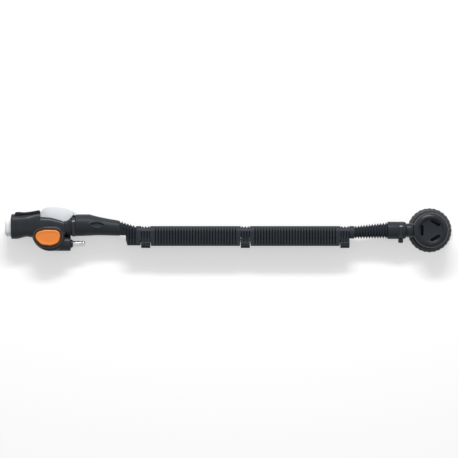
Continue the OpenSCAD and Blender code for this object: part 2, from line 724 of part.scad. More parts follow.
// A keeper: a ribbed ring for the low-pressure hose that hangs from the pad, split at the back for snapping in
module hose_keeper(x) {
    lobes = 4;
    gap = 0.25;
    l = keeper_l - 2*gap;
    pitch = l/lobes;
    inner = keeper_bore_d/2;
    outer = inner + keeper_wall;
    split_w = 5;
    color("#1f2022") place() difference() {
        union() {
            turned_x(x + gap, lane_y, concat([[0, 0]],
                [for (i = [0:lobes - 1]) each [[outer - 0.7, i*pitch], [outer, (i + 0.3)*pitch],
                    [outer, (i + 0.7)*pitch]]],
                [[outer - 0.7, l], [0, l]]));
            translate([x + gap, lane_y, -pad_w/2 + 1]) cube([l, flat_y - lane_y, pad_w - 2]);
        }
        rod_x(x, lane_y, inner, keeper_l);
        translate([x, lane_y, 0]) rotate([-135, 0, 0]) translate([0, 0, -split_w/2]) cube([keeper_l, 2*outer, split_w]);
    }
}

module cuff_valve() {
    r = valve_cuff_d/2;
    groove = tie_valve_x - valve_cuff_x;
    socket = elbow_spigot_r + seat_gap;
    blind = valve_cuff_l - elbow_spigot_l;
    color("#303235") place() turned_x(valve_cuff_x, valve_y, [[bore_r, 0], [r - 0.5, 0], [r, 0.6], [r, groove],
        [tie_valve_seat_r, groove], [tie_valve_seat_r, groove + tie_w], [r, groove + tie_w], [r, valve_cuff_l - 3.2],
        [r - 1.7, valve_cuff_l], [socket, valve_cuff_l], [socket, blind], [bore_r, blind]]);
}

module elbow_body() {
    body_z = gasket_z + gasket_t;
    r = elbow_spigot_r;
    l = elbow_spigot_l;
    color("#2b2d30") place() difference() {
        union() {
            turned_valve([[0, body_z], [base_flange_r, body_z], [base_flange_r, body_z + base_flange_t],
                [valve_r, body_z + base_flange_t], [valve_r, valve_body_h], [0, valve_body_h]]);
            rod_x(elbow_x + 0.9, valve_y, elbow_r, elbow_l - cavity_r);
            rod_x(elbow_x - l, valve_y, r, elbow_l - cavity_r + l);
        }
        turned_valve([[0, body_z - past], [cavity_r - 1, body_z - past], [cavity_r - 1, seat_plate_z], [0, seat_plate_z]]);
        turned_valve([[0, seat_plate_z - past], [9, seat_plate_z - past], [9, seat_plate_z + seat_plate_t],
            [cavity_r, seat_plate_z + seat_plate_t], [cavity_r, valve_body_h], [cover_r + air_gap, valve_body_h],
            [cover_r + air_gap, valve_body_h + crest_h], [0, valve_body_h + crest_h]]);
        rod_x(elbow_x - l - past, valve_y, bore_r, elbow_l - cavity_r + l + 4);
    }
}

// Outline of the clamp ring: lobes whose crests lie at ring_r
module ring_outline() {
    lobe_h = 0.3;
    steps = 6*ring_lobes;
    polygon([for (i = [0:steps - 1]) let (a = 360*i/steps, r = ring_r - lobe_h + lobe_h*cos(ring_lobes*a))
        [r*cos(a), r*sin(a)]]);
}

module clamp_ring() {
    relief_r = thread_r + 0.6;
    color("#4a4d52") place() difference() {
        intersection() {
            at_valve() linear_extrude(ring_h) ring_outline();
            turned_valve([[0, 0], [ring_r - 0.8, 0], [ring_r + 1, 1.8], [ring_r + 1, ring_h - 2.6],
                [ring_r - 3, ring_h - 0.4], [ring_r - 5, ring_h], [0, ring_h]]);
        }
        turned_valve([[0, -past], [thread_r, -past], [thread_r, thread_l], [relief_r, thread_l], [relief_r, lip_z],
            [valve_r + running, lip_z], [valve_r + running, ring_h + past], [0, ring_h + past]]);
    }
}

module clamp_gasket() {
    color("#1d1e20") place() turned_valve([[cavity_r - 1, gasket_z], [base_flange_r - 0.2, gasket_z],
        [base_flange_r - 0.2, gasket_z + gasket_t], [cavity_r - 1, gasket_z + gasket_t]]);
}

module valve_cover() {
    top = valve_body_h + crest_h;
    skirt_r = cavity_r - seat_gap;
    skirt_in = cavity_r - 2.2;
    skirt_z = seat_plate_z + seat_plate_t + 0.1;
    color("#303236") place() difference() {
        turned_valve([[0, plate_bottom], [dish_r + 1, plate_bottom], [skirt_in, plate_bottom - 2.6], [skirt_in, skirt_z],
            [skirt_r, skirt_z], [skirt_r, valve_body_h], [cover_r, valve_body_h], [cover_r, valve_body_h + 1.6],
            [cover_r - 0.9, valve_body_h + 4.4], [cover_r - 2.4, top - 3], [cover_r - 4.6, top - 0.9],
            [cover_r - 6.3, top], [dish_r + 0.6, top - 0.5], [dish_r, top - 1.8], [dish_r, plate_bottom + plate_t],
            [0, plate_bottom + plate_t]]);
        for (angle = slot_angles) at_valve() rotate([0, 0, angle]) translate([slot_r, 0, plate_bottom - past])
            linear_extrude(plate_t + 2*past) union() {
                square([slot_w, slot_l - slot_w], center = true);
                for (side = [-1, 1]) translate([0, side*(slot_l - slot_w)/2]) circle(d = slot_w, $fn = round_sides);
            }
    }
}

module exhaust_disc() {
    color("#8b8e92") place() turned_valve([[0, disc_z], [12.5, disc_z], [12.5, disc_z + disc_t], [4, disc_z + disc_t],
        [4, disc_z + disc_t + 0.4], [0, disc_z + disc_t + 0.4]]);
}

module disc_seal() {
    color("#1d1e20") place() turned_valve([[8.4, disc_seal_z], [12, disc_seal_z], [12, disc_z], [8.4, disc_z]]);
}

module disc_spring() {
    floor_z = disc_z + disc_t + 0.1;
    color("lightgray") place() at_valve() translate([0, 0, floor_z]) coil_spring(6.5, 0.6, 3, plate_bottom - floor_z - 0.1);
}

mouthpiece();
inflator_body();
thumb_saddle();
button_bezel();
inflate_button();
inflate_stem();
button_spring();
exhaust_lever();
lever_pin();
exhaust_stem();
exhaust_seal();
exhaust_spring();
nipple_collar();
qd_nipple();
hose_spigot();
cuff_inflator();
tie_inflator();
hose_root();
hose_span(keeper_1_x + keeper_l);  // hose_span_1
hose_span(keeper_1_x + keeper_l + keeper_pitch);  // hose_span_2
hose_tail();
keeper_hose(keeper_1_x);  // keeper_hose_1
keeper_hose(keeper_1_x + keeper_pitch);  // keeper_hose_2
keeper_hose(keeper_1_x + 2*keeper_pitch);  // keeper_hose_3
channel_lip();
channel_walls(keeper_1_x + keeper_l);  // channel_walls_1
channel_walls(keeper_1_x + keeper_l + keeper_pitch);  // channel_walls_2
hose_keeper(keeper_1_x);  // hose_keeper_1
hose_keeper(keeper_1_x + keeper_pitch);  // hose_keeper_2
hose_keeper(keeper_1_x + 2*keeper_pitch);  // hose_keeper_3
cuff_valve();
tie_valve();
elbow_body();
clamp_ring();
clamp_gasket();
valve_cover();
exhaust_disc();
disc_seal();
disc_spring();
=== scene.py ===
# %% [markdown]
# # A diver's power inflator, dressed on its CAD frame
# The inflator lies on its back: +X runs from the mouthpiece to the dump valve, +Y towards the exhaust
# lever, and +Z out of the face that carries the inflate button. The CAD model gives every size. This
# lesson adds the studio, smooth rubber surfaces in place of the plain solids, and the finishes.

# %% Load the frame
import json
import math

import bmesh
import bpy
import numpy as np
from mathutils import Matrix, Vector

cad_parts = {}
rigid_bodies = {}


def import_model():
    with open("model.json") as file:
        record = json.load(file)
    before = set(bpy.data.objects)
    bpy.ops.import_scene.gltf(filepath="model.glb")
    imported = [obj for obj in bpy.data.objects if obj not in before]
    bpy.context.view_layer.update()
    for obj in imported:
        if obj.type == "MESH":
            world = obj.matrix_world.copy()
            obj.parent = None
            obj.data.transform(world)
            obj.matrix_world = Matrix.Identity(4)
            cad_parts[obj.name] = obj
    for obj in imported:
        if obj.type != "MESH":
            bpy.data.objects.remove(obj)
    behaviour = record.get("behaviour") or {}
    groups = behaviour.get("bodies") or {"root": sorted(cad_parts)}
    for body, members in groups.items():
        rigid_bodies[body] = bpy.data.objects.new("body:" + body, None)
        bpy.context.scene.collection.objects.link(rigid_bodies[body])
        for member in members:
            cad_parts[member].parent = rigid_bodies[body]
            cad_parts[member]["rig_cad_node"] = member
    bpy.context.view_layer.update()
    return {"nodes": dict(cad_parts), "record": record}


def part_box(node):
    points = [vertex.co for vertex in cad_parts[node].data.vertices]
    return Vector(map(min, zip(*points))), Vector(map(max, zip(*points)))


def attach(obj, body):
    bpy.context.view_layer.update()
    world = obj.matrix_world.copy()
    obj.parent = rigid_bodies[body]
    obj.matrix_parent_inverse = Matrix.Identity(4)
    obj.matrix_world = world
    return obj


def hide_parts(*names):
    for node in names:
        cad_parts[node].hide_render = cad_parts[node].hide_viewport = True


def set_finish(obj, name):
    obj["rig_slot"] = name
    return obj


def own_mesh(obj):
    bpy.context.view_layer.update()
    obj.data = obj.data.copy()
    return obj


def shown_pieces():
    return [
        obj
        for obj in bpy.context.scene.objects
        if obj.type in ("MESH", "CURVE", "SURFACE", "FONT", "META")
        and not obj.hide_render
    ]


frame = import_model()
nodes = frame["nodes"]

# %% [markdown]
# ## One set of measures
# A shape is easiest to write in millimetres, from the tip of the mouthpiece along the air passage. The
# CAD boxes tell where that origin lies, so nothing has to be fitted by eye. Every other size hangs on
# a few boxes of the frame.

# %% Read the sizes from the frame
def box_mm(node):
    """Lowest and highest corner of a CAD node, in millimetres."""
    low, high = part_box(node)
    return np.array(low) * 1000, np.array(high) * 1000


mouth_low, mouth_high = box_mm("mouthpiece")
AXIS_BELOW_MIDDLE = 2.5
middle = (mouth_low + mouth_high) / 2
ORIGIN = np.array([mouth_low[0], middle[1] - AXIS_BELOW_MIDDLE, middle[2]])


def span_of(node, axis=0):
    """Where a node starts and ends along one axis, measured from the origin of this lesson."""
    low, high = box_mm(node)
    return low[axis] - ORIGIN[axis], high[axis] - ORIGIN[axis]


def half_of(node, axis=0):
    """Half a node's size along one axis, which is the radius of a round one."""
    low, high = span_of(node, axis)
    return (high - low) / 2


def middle_of(node, axis=0):
    """The middle of a node along one axis."""
    return sum(span_of(node, axis)) / 2


BARREL_LENGTH, NECK_LENGTH = 43.3, 47
BARREL_START, CUFF_START = span_of("mouthpiece")[1] - 7, span_of("cuff_inflator")[0]
ROOT_START, KEEPER_1 = span_of("hose_root")
LIP_START, LIP_END = span_of("channel_lip")
LIP_FRONT = LIP_START - 2.2
VALVE_CUFF_START, VALVE_CUFF_END = span_of("cuff_valve")
HOSE_R = half_of("hose_span_1", 2)
HOSE_Y = span_of("hose_span_1", 1)[1] - HOSE_R
FLAT_Y, WALL_BOTTOM_Y = span_of("hose_span_1", 1)[0], span_of("channel_walls_1", 1)[0]
LANE_Y = middle_of("qd_nipple", 1)
VALVE_X, VALVE_Y = middle_of("clamp_ring"), middle_of("clamp_ring", 1)
FLOOR_Z = -ORIGIN[2]
BORE_R, SOCKET_R, PASSAGE_R, PIN_R = 6.0, 8.55, 4.5, 1.56
NECK_X, HOUSING_FRONT = CUFF_START - NECK_LENGTH, span_of("button_bezel", 2)[0]
HOUSING = np.array([NECK_X + 15.4, -5.3, 27.7])
print(f"hose {2 * HOSE_R:.1f} mm round, axis at y {HOSE_Y:.1f}; valve at x {VALVE_X:.1f} mm")

# %% [markdown]
# ## Skins from grids
# Almost everything here is a tube of some kind: a row of points goes round the piece, and the rows
# follow each other along it. NumPy works such a grid out in one go. One helper turns any grid into a
# mesh, welds and orients it, and marks only real corners as sharp, so that the rest shades smoothly.

# %% Mesh helpers
def around(sides):
    """Angles spaced evenly round a circle."""
    return np.linspace(0, 2 * math.pi, sides, endpoint=False)


def spread(x, y, z):
    """One grid of points from three arrays that are stretched over each other."""
    return np.stack(np.broadcast_arrays(x, y, z), axis=-1)


def into_scene(name, data):
    """A new object in the scene."""
    thing = bpy.data.objects.new(name, data)
    bpy.context.scene.collection.objects.link(thing)
    return thing


def shade_smooth(mesh, sharp):
    """Smooth shading, but for edges that turn more than sharp degrees."""
    mesh.polygons.foreach_set("use_smooth", np.ones(len(mesh.polygons), bool))
    mesh.set_sharp_from_angle(angle=math.radians(sharp))


def grid_faces(rows, cols, loop=False, start=0):
    """Quads between neighbours of a grid that closes round its columns, and round its rows too if loop."""
    index = start + np.arange(rows * cols).reshape(rows, cols)
    ahead = np.roll(index, -1, axis=0) if loop else index[1:]
    here = index if loop else index[:-1]
    quads = np.stack([here, ahead, np.roll(ahead, -1, axis=1), np.roll(here, -1, axis=1)], axis=-1)
    return quads.reshape(-1, 4).tolist(), index


def add_mesh(name, parts, sharp=35):
    """A piece from several grids. One that is paired with True is a loop; a bare one gets a cap at each end."""
    points, faces, start = [], [], 0
    for part in parts:
        grid, loop = part if isinstance(part, tuple) else (part, False)
        rows, cols = grid.shape[:2]
        quads, index = grid_faces(rows, cols, loop, start)
        faces += quads if loop else quads + [index[0][::-1].tolist(), index[-1].tolist()]
        points.append(grid.reshape(-1, 3))
        start += rows * cols
    mesh = bpy.data.meshes.new(name)
    mesh.from_pydata(((np.concatenate(points) + ORIGIN) / 1000).tolist(), [], faces)
    work = bmesh.new()
    work.from_mesh(mesh)
    bmesh.ops.remove_doubles(work, verts=work.verts, dist=1e-6)
    bmesh.ops.recalc_face_normals(work, faces=work.faces)
    work.to_mesh(mesh)
    work.free()
    shade_smooth(mesh, sharp)
    return into_scene(name, mesh)


def mark_painted_shading(piece, depth):
    """Stores a painted shade for each point, up to 1 where it lies deepest in a groove, to darken the colour there.
    Below 0 it is a painted highlight that makes the colour paler.
    """
    mesh = piece.data
    flat = np.empty(len(mesh.vertices) * 3)
    mesh.vertices.foreach_get("co", flat)
    layer = mesh.attributes.new("painted_shading", "FLOAT", "POINT")
    layer.data.foreach_set("value", np.clip(depth(flat.reshape(-1, 3) * 1000 - ORIGIN), -1, 1).astype(np.float32))
    return piece


def dress(piece, slot, *replaced, body="root"):
    """Lets a new piece ride on its body, in place of CAD nodes and in the finish of a material slot."""
    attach(piece, body)
    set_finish(piece, slot)
    if replaced:
        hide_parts(*replaced)
    print(f"{piece.name}: {len(piece.data.polygons)} faces")
    return piece


def build(name, parts, slot, *replaced, body="root", sharp=35, painted_shading=None):
    """Meshes a piece, stores its painted shading if it has any, and dresses it."""
    piece = add_mesh(name, parts, sharp)
    if painted_shading:
        mark_painted_shading(piece, painted_shading)
    return dress(piece, slot, *replaced, body=body)


# %% Curves that the surfaces share
def smooth_through(stations, values, x):
    """Cubic curve through the stations that never overshoots: each slope is its neighbours' harmonic mean."""
    s, v = np.asarray(stations, float), np.asarray(values, float)
    step, rise = np.diff(s), np.diff(v) / np.diff(s)
    both = rise[:-1] * rise[1:]
    middle = np.where(both > 0, 2 * both / np.where(both > 0, rise[:-1] + rise[1:], 1), 0)
    slope = np.concatenate([rise[:1], middle, rise[-1:]])
    i = np.clip(np.searchsorted(s, x) - 1, 0, len(step) - 1)
    t = (x - s[i]) / step[i]
    return (v[i] * (1 + 2 * t) * (1 - t) ** 2 + slope[i] * step[i] * t * (1 - t) ** 2
            + v[i + 1] * t * t * (3 - 2 * t) + slope[i + 1] * step[i] * t * t * (t - 1))


def ease(t):
    """0 before 0, 1 after 1, and a smooth S between: three t squared minus two t cubed."""
    t = np.clip(t, 0, 1)
    return t * t * (3 - 2 * t)


def soft_min(a, b, radius=0.35):
    """The smaller of two values, rounded over where they cross."""
    h = np.clip(0.5 + (b - a) / (2 * radius), 0, 1)
    return b * (1 - h) + a * h - radius * h * (1 - h)


def rounded_corner(steps):
    """The two insets of a rounded corner of radius 1: one minus the sine and one minus the cosine."""
    turn = np.linspace(0, math.pi / 2, steps)
    return 1 - np.sin(turn), 1 - np.cos(turn)


def oval_grid(x, top, bottom, half, squareness=2.0, sides=96):
    """Superellipse rings between top and bottom: powers of the sine and cosine of the angle."""
    c, s = np.cos(around(sides)), np.sin(around(sides))
    power = 2 / squareness
    y = ((top + bottom) / 2)[:, None] + ((top - bottom) / 2)[:, None] * np.sign(c) * np.abs(c) ** power
    z = half[:, None] * np.sign(s) * np.abs(s) ** power
    return spread(x[:, None], y, z)


def round_grid(x, y, r, sides=96):
    """Circular rings about a line along x. Its height y and the radius r may change from ring to ring."""
    x, y, r = (values.astype(float) for values in np.broadcast_arrays(x, y, r))
    return oval_grid(x, y + r, y - r, r, sides=sides)


def tube(outer, inner):
    """One closed skin: out along the outer rings and back along the inner ones."""
    return np.concatenate([outer, inner[::-1]]), True


# %% [markdown]
# ## The ribbed hose between its keepers
# The hose is moulded rubber: round on top, flat on its sides, with narrow grooves across each side
# that let it bend, and a smooth spine where nothing is cut. Modelling each rib would be slow. Instead
# the section is drawn once, and a groove is only a limit on how far the surface may stand out from the
# middle plane at that place along the hose. A rounded minimum joins the two.

# %% Grooves along the hose
RIB_PITCH, GROOVE_HALF, GROOVE_EDGE, GROOVE_DEPTH = 4.286, 0.65, 0.4, 2.4
PLAIN_END = 7.2


def groove_centres(start, end):
    """Centres of the grooves between two stations, spread evenly with a plain stretch at each end."""
    count = int((end - start - 2 * PLAIN_END - 1.2) // RIB_PITCH) + 1
    return (start + end) / 2 + (np.arange(count) - (count - 1) / 2) * RIB_PITCH


def groove_depth_at(x, centres):
    """1 in the middle of a groove and 0 on a rib, with eased shoulders."""
    nearest = np.abs(x[:, None] - centres[None, :]).min(axis=1)
    return 1 - ease((nearest - GROOVE_HALF) / GROOVE_EDGE)


def groove_stations(start, end, centres):
    """Stations along x that are close together over each groove's shoulders."""
    shoulder = np.linspace(GROOVE_HALF, GROOVE_HALF + GROOVE_EDGE, 5)
    steps = np.concatenate([-shoulder, [0], shoulder])
    x = np.concatenate([[start, start + 0.25, end - 0.25, end], (centres[:, None] + steps[None, :]).ravel()])
    return np.unique(np.round(x, 4))


def painted_groove_shade(points, centres, depth):
    """Painted shade for the side grooves: 1 at the bottom of a groove, inside its width and below the flat side of the
    hose.
    """
    sunk = (HOSE_R - np.abs(points[:, 2])) / depth
    return groove_depth_at(points[:, 0], centres) * ease(sunk * 1.6) * (sunk < 1.2)


def arch_outline(points=72):
    """Half circle over two straight sides and a flat floor with rounded corners, spaced evenly along its length."""
    top = np.linspace(-math.pi / 2, math.pi / 2, 49)
    in_y, in_z = rounded_corner(5)
    foot_y, foot_z = FLAT_Y + 0.2 * in_y, HOSE_R - 0.2 * in_z
    y = np.concatenate([HOSE_Y + HOSE_R * np.cos(top), foot_y, foot_y[::-1]])
    z = np.concatenate([HOSE_R * np.sin(top), foot_z, -foot_z[::-1]])
    y, z = np.append(y, y[0]), np.append(z, z[0])
    length = np.concatenate([[0], np.cumsum(np.hypot(np.diff(y), np.diff(z)))])
    even = np.linspace(0, length[-1], points, endpoint=False)
    return np.interp(even, length, y), np.interp(even, length, z)


def hose_span(name, node):
    """The hose between two keepers: its outline held in to the groove's limit at each station."""
    start, end = span_of(node)
    centres = groove_centres(start, end)
    x = groove_stations(start, end, centres)
    y, z = arch_outline()
    limit = HOSE_R - GROOVE_DEPTH * groove_depth_at(x, centres) + 0.4
    held = np.sign(z) * soft_min(np.abs(z)[None, :], limit[:, None])
    outer = spread(x[:, None], y, np.clip(held, -HOSE_R, HOSE_R))
    inner = np.roll(round_grid([start, end], HOSE_Y, BORE_R, sides=len(y)), -len(y) // 4, axis=1)
    build(name, [tube(outer, inner)], "hose_rubber", node, painted_shading=lambda p: painted_groove_shade(p, centres, GROOVE_DEPTH))


for i in (1, 2):
    hose_span(f"ribbed_hose_{i}", f"hose_span_{i}")

# %% [markdown]
# ## The channel under the hose
# Two walls hang from the hose and grip the low-pressure hose that belongs between them. Their outer
# faces carry the same grooves, but shallower, and they end in a plain rim that keeps the edge from
# tearing. Each wall is one rounded bar whose outer face is held in as the hose's sides are.

# %% Channel walls
WALL_IN, WALL_GROOVE, KEEPER_SLIT = 5.5, 1.3, 1.3


def wall_bar(x, centres, bottom, side, rim):
    """A bar with rounded lower corners between the flat and the bottom. The grooves fade out over the rim."""
    in_y, in_z = rounded_corner(5)
    corner, r = bottom + 0.9 * in_y, 0.9 * in_z
    y = np.concatenate([np.linspace(FLAT_Y, bottom + rim + 0.8, 8), np.linspace(bottom + rim, bottom + 0.9, 4), corner,
                        corner[::-1], [FLAT_Y]])
    z = np.concatenate([np.full(12, HOSE_R), HOSE_R - r, WALL_IN + r[::-1], [WALL_IN]])
    fade = ease((y - bottom - rim) / 0.8)
    limit = HOSE_R + 0.3 - WALL_GROOVE * groove_depth_at(x, centres)[:, None] * fade[None, :]
    held = np.minimum(soft_min(z[None, :], limit, 0.3), z[None, :])
    return spread(x[:, None], y, side * held)


def wall_pair(name, node, ends, centres, bottom, rim, shift):
    """Two bars, each point moved along x by what shift gives for its x and its depth below the flat."""
    bars = []
    for side in (1, -1):
        bar = wall_bar(groove_stations(*ends, centres), centres, bottom, side, rim)
        bar[..., 0] += shift(bar[..., 0], FLAT_Y - bar[..., 1])
        bars.append(bar)
    build(name, bars, "hose_rubber", node, painted_shading=lambda p: painted_groove_shade(p, centres, WALL_GROOVE))


def keeper_slit(away, below):
    """How far a wall's end draws back from a keeper: a slit that opens from nothing to its full width."""
    return KEEPER_SLIT * ease(below / 4) * (1 - ease(away / 3))


def channel(i):
    """The walls between two keepers, with a slit at both ends."""
    start, end = span_of(f"channel_walls_{i}")
    wall_pair(f"hose_channel_{i}", f"channel_walls_{i}", (start, end), groove_centres(start, end), WALL_BOTTOM_Y,
              2.0, lambda x, below: keeper_slit(x - start, below) - keeper_slit(end - x, below))


for i in (1, 2):
    channel(i)


# %% Short channel before the first keeper
LIP_GROOVES = LIP_START + 3.2 + RIB_PITCH * np.arange(3)
LIP_RAKE = 2.7


def channel_lip():
    """The same walls, their front end raked by moving each point in proportion to its depth."""
    bottom = span_of("channel_lip", 1)[0]
    slope = LIP_RAKE / (FLAT_Y - bottom)
    wall_pair("hose_channel_lip", "channel_lip", (LIP_FRONT, LIP_END), LIP_GROOVES, bottom, 1.2,
              lambda x, below: slope * below * (1 - ease((x - LIP_FRONT) / 4)) - keeper_slit(LIP_END - x, below))


channel_lip()

# %% [markdown]
# ## Where the hose turns round
# At both ends the hose becomes a plain bellows: sharp crests with rounded valleys. A bellows is a
# radius that swings between crest and valley along the axis. At the inflator end the section also
# changes, from a circle at the cuff to the flat-sided arch, so the shape is a blend of two outlines.

# %% Bellows
def rounded_wave(height):
    """A straight slope from 0 in a valley to 1 on a crest, with both turns a little rounded by a sine."""
    return np.clip(0.5 + 0.5 * np.sin((height - 0.5) * math.pi * 0.62) / math.sin(math.pi * 0.31), 0, 1)


def bellows(t, ribs):
    """0 in a valley and 1 on a crest, ribs times over t from 0 to 1."""
    return rounded_wave(1 - np.abs(((t * ribs) % 1) * 2 - 1))


def root_wave(x):
    """Crests halfway between valleys in line with the lip's grooves, and 1 from the last crest on."""
    valleys = LIP_GROOVES[-1] - RIB_PITCH * np.arange(6)
    distance = np.abs(x[:, None] - valleys[None, :]).min(axis=1) / (RIB_PITCH / 2)
    return rounded_wave(np.clip(distance, 0, 1))


ROOT_Y, ROOT_R = 1.1, 11.1


def hose_root():
    """From the cuff's circle to the arch: below the axis it swells out to a limit on width and on depth."""
    depth = 2.7
    ribbed = LIP_GROOVES[-1] + RIB_PITCH / 2 - ROOT_START
    x = np.unique(np.concatenate([ROOT_START + ribbed * np.linspace(0, 1, 97), [KEEPER_1 - 5, KEEPER_1]]))
    t = np.clip((x - ROOT_START) / ribbed, 0, 1)
    centre = ROOT_Y + (HOSE_Y - ROOT_Y) * t
    r = ROOT_R + (HOSE_R - ROOT_R) * t - depth * (1 - root_wave(x))
    skirt = LIP_FRONT - x
    bottom = np.where(skirt > 0, -9.4 - 0.6 * t, -9.8 + (FLAT_Y + 9.8) * ease(-skirt / 0.8))
    swell = 1 + 0.45 * np.clip(t / 0.3, 0, 1)
    swell = np.maximum(swell, (centre - bottom + np.where(skirt < 0, 4, 0.6)) / r)
    angle = around(96)[None, :]
    low = np.cos(angle) < -1e-3
    k = np.where(low, swell[:, None], 1)
    y = centre[:, None] + k * r[:, None] * np.cos(angle)
    y = np.where(low, np.maximum(y, bottom[:, None]), y)
    z = np.clip(k * r[:, None] * np.sin(angle), -r[:, None], r[:, None])
    inner = round_grid([ROOT_START, ROOT_START + ribbed, KEEPER_1], [ROOT_Y, HOSE_Y, HOSE_Y], BORE_R)

    def painted_shading(points):
        """Painted shade: a little dark in the valleys of the neck, and darker where they run on down the side."""
        side = ease((points[:, 0] - ROOT_START - 8) / 2) * ease((0.5 - points[:, 1]) / 2)
        return (0.2 + 0.7 * side) * (1 - root_wave(points[:, 0])) ** 5

    build("hose_root_bellows", [tube(spread(x[:, None], y, z), inner)], "hose_rubber", "hose_root", sharp=50,
          painted_shading=painted_shading)


def hose_tail():
    """Twelve crests that grow from the hose's radius to the cuff's while the axis climbs to the valve's."""
    start, end = span_of("hose_tail")
    plain, ribs, depth = 7.5, 12, 3.3
    ribbed = end - start - plain
    x = np.unique(np.concatenate([[start, start + 0.4, start + plain - 0.6],
                                  start + plain + ribbed * np.linspace(0, 1, ribs * 12 + 1)]))
    t = np.clip((x - start - plain) / ribbed, 0, 1)
    centre = HOSE_Y + (VALVE_Y - HOSE_Y) * t
    crest_end = half_of("cuff_valve", 1) - 0.6
    crest = HOSE_R + 0.4 * ease(t * 20) + (crest_end - HOSE_R - 0.4) * t
    r = crest - depth * np.where(t > 0, 1 - bellows(t, ribs), 0)
    r = np.where(x <= start + plain - 0.5, HOSE_R, r)
    inner = round_grid([start, start + plain, end], [HOSE_Y, HOSE_Y, VALVE_Y], BORE_R)

    def painted_shading(points):
        """Painted highlight: pale on the crests."""
        at = (points[:, 0] - start - plain) / ribbed
        return np.where((at > 0) & (at < 1), -0.7 * bellows(np.clip(at, 0, 1), ribs) ** 2, 0)

    build("hose_tail_bellows", [tube(round_grid(x, centre, r), inner)], "hose_rubber", "hose_tail", sharp=50,
          painted_shading=painted_shading)


hose_root()
hose_tail()

# %% [markdown]
# ## Keepers
# Three times along the hose a ribbed ring hangs under it and holds the low-pressure hose. The ring is
# split at its back, so that the hose can be snapped in. It is drawn as an open C: out along the outer
# arc and back along the inner one, with a soft lobe for each rib.

# %% Hose over a keeper
KEEPER_RIBS = 3


def keeper_block(start, end):
    """Front and back of the block: a shoulder over a flat face, ribs across it, and a waist halfway down."""
    x = np.unique(np.concatenate([np.linspace(start + 0.15, end - 0.15, 61), [start + 0.3, end - 0.3]]))
    y = np.array([1.6, 1.2, 0.5, -0.6, -1.7, -2.8, -3.5, -5.5, -7.5, -10, -12.5, -14.2, -16, -18.2, -18.2, -16.4,
                  -16.4, -11.6, -11.3, 1.6])
    z = np.array([6.6, 7.4, 7.8, 8.35, 8.9, 9.4, 9.5, 9.3, 9.2, 9, 8.9, 8.9, 8.8, 8.4, 6.6, 6.0, 0, 0, 6.4, 6.4])
    pitch = (end - start) / KEEPER_RIBS
    away = np.abs((x - start) / pitch - np.round((x - start) / pitch)) * pitch
    groove = (1 - ease((away - 0.4) / 0.9))[:, None] * (ease((-2.6 - y) / 2) * (np.arange(len(y)) < 12))[None, :]
    waist = 0.7 * np.exp(-((y + 9.5) / 3.5) ** 2)[None, :]
    middle = (start + end) / 2
    px = middle + (x[:, None] - middle) * (1 - 2 * waist / (end - start))
    pz = z[None, :] - 1.5 * groove
    return [spread(px, y, side * pz) for side in (1, -1)]


def keeper_hose(i):
    """Three crests round the hose, and the block on it that carries the keeper."""
    start, end = span_of(f"keeper_hose_{i}")
    x = np.linspace(start, end, 43)
    r = HOSE_R - 0.1 - 2.4 * (1 - bellows((x - start) / (end - start), KEEPER_RIBS))
    ring = tube(round_grid(x, HOSE_Y, r), round_grid([start, end], HOSE_Y, BORE_R))

    def painted_shading(points):
        """Painted shade: dark between the ribs of the block's face."""
        t = (points[:, 0] - start) / (end - start) * KEEPER_RIBS
        face = (points[:, 1] < -3.2) & (points[:, 1] > -16)
        return 0.8 * np.clip(1 - np.abs(t - np.round(t)) * 4.5 / 1.2, 0, 1) * face

    build(f"keeper_bellows_{i}", [ring, *keeper_block(start, end)], "hose_rubber", f"keeper_hose_{i}", sharp=50,
          painted_shading=painted_shading)


def keeper(i):
    """The C from one edge of the split to the other. Its front swells into lobes; its underside is straighter."""
    node, overhang, inner_r = f"hose_keeper_{i}", 0.35, 5.1
    outer_r = LANE_Y - span_of(node, 1)[0]
    start, end = span_of(node)[0] - overhang, span_of(node)[1] + overhang
    x = np.linspace(start, end, KEEPER_RIBS * 12 + 1)
    lobe = np.abs(np.sin(math.pi * KEEPER_RIBS * (x - start) / (end - start))) ** 0.7
    split = math.radians(-135)
    half_gap = math.asin(2.5 / outer_r)
    angle = np.linspace(split + half_gap, split - half_gap + 2 * math.pi, 81)
    upper = ease((np.cos(angle) * outer_r + 3.4) / 1.0)[None, :]
    r = outer_r - 0.12 * (1 - lobe[:, None]) * (1 - upper)
    depth = r * (1 + upper * (0.42 - 0.12 * (1 - lobe[:, None])))
    turn, hollow = np.append(angle, angle[::-1]), np.full_like(r, inner_r)
    y = LANE_Y + np.hstack([r, hollow]) * np.cos(turn)
    z = np.hstack([depth, hollow]) * np.sin(turn)
    # Painted shade: the ring's underside, below y -24.6, is darkened.
    build(f"keeper_ring_{i}", [spread(x[:, None], y, z)], "keeper_rubber", node,
          painted_shading=lambda p: 0.95 * ease((-24.6 - p[:, 1]) / 0.6))


for i in (1, 2, 3):
    keeper_hose(i)
    keeper(i)

# %% [markdown]
# ## Cuffs
# A cuff is thick smooth rubber that is pulled over a spigot and tied. The inflator's cuff is wide at
# the tie and tapers to the hose, so its top and bottom edges are two curves through a few stations. A
# pointed panel is pressed into its front: the surface sinks where a point lies inside two large circles.

# %% Inflator cuff
TIE_W, TIE_T = 4.8, 1.3
TIE_1_X, TIE_1_Y, TIE_1_R = CUFF_START + 1.1, 4.4, 14.45


def pocket(points, centre_x, centre_y, half_length, half_width, tilt, depth):
    """Sinks the front of a skin inside a lens: the place that lies within both of two large circles."""
    dx, dy = points[..., 0] - centre_x, points[..., 1] - centre_y
    along = dx * math.cos(tilt) + dy * math.sin(tilt)
    across = -dx * math.sin(tilt) + dy * math.cos(tilt)
    arc = (half_length ** 2 + half_width ** 2) / (2 * half_width)
    reach = np.hypot(along, np.abs(across) + arc - half_width) - arc
    sunk = 1 - ease((reach + 2.4) / 2.6)
    lip = 0.6 * np.exp(-((reach - 0.6) / 0.7) ** 2)
    front = points[..., 2] > 0
    points[..., 2] += np.where(front, lip - (depth + lip) * sunk, 0)
    return points


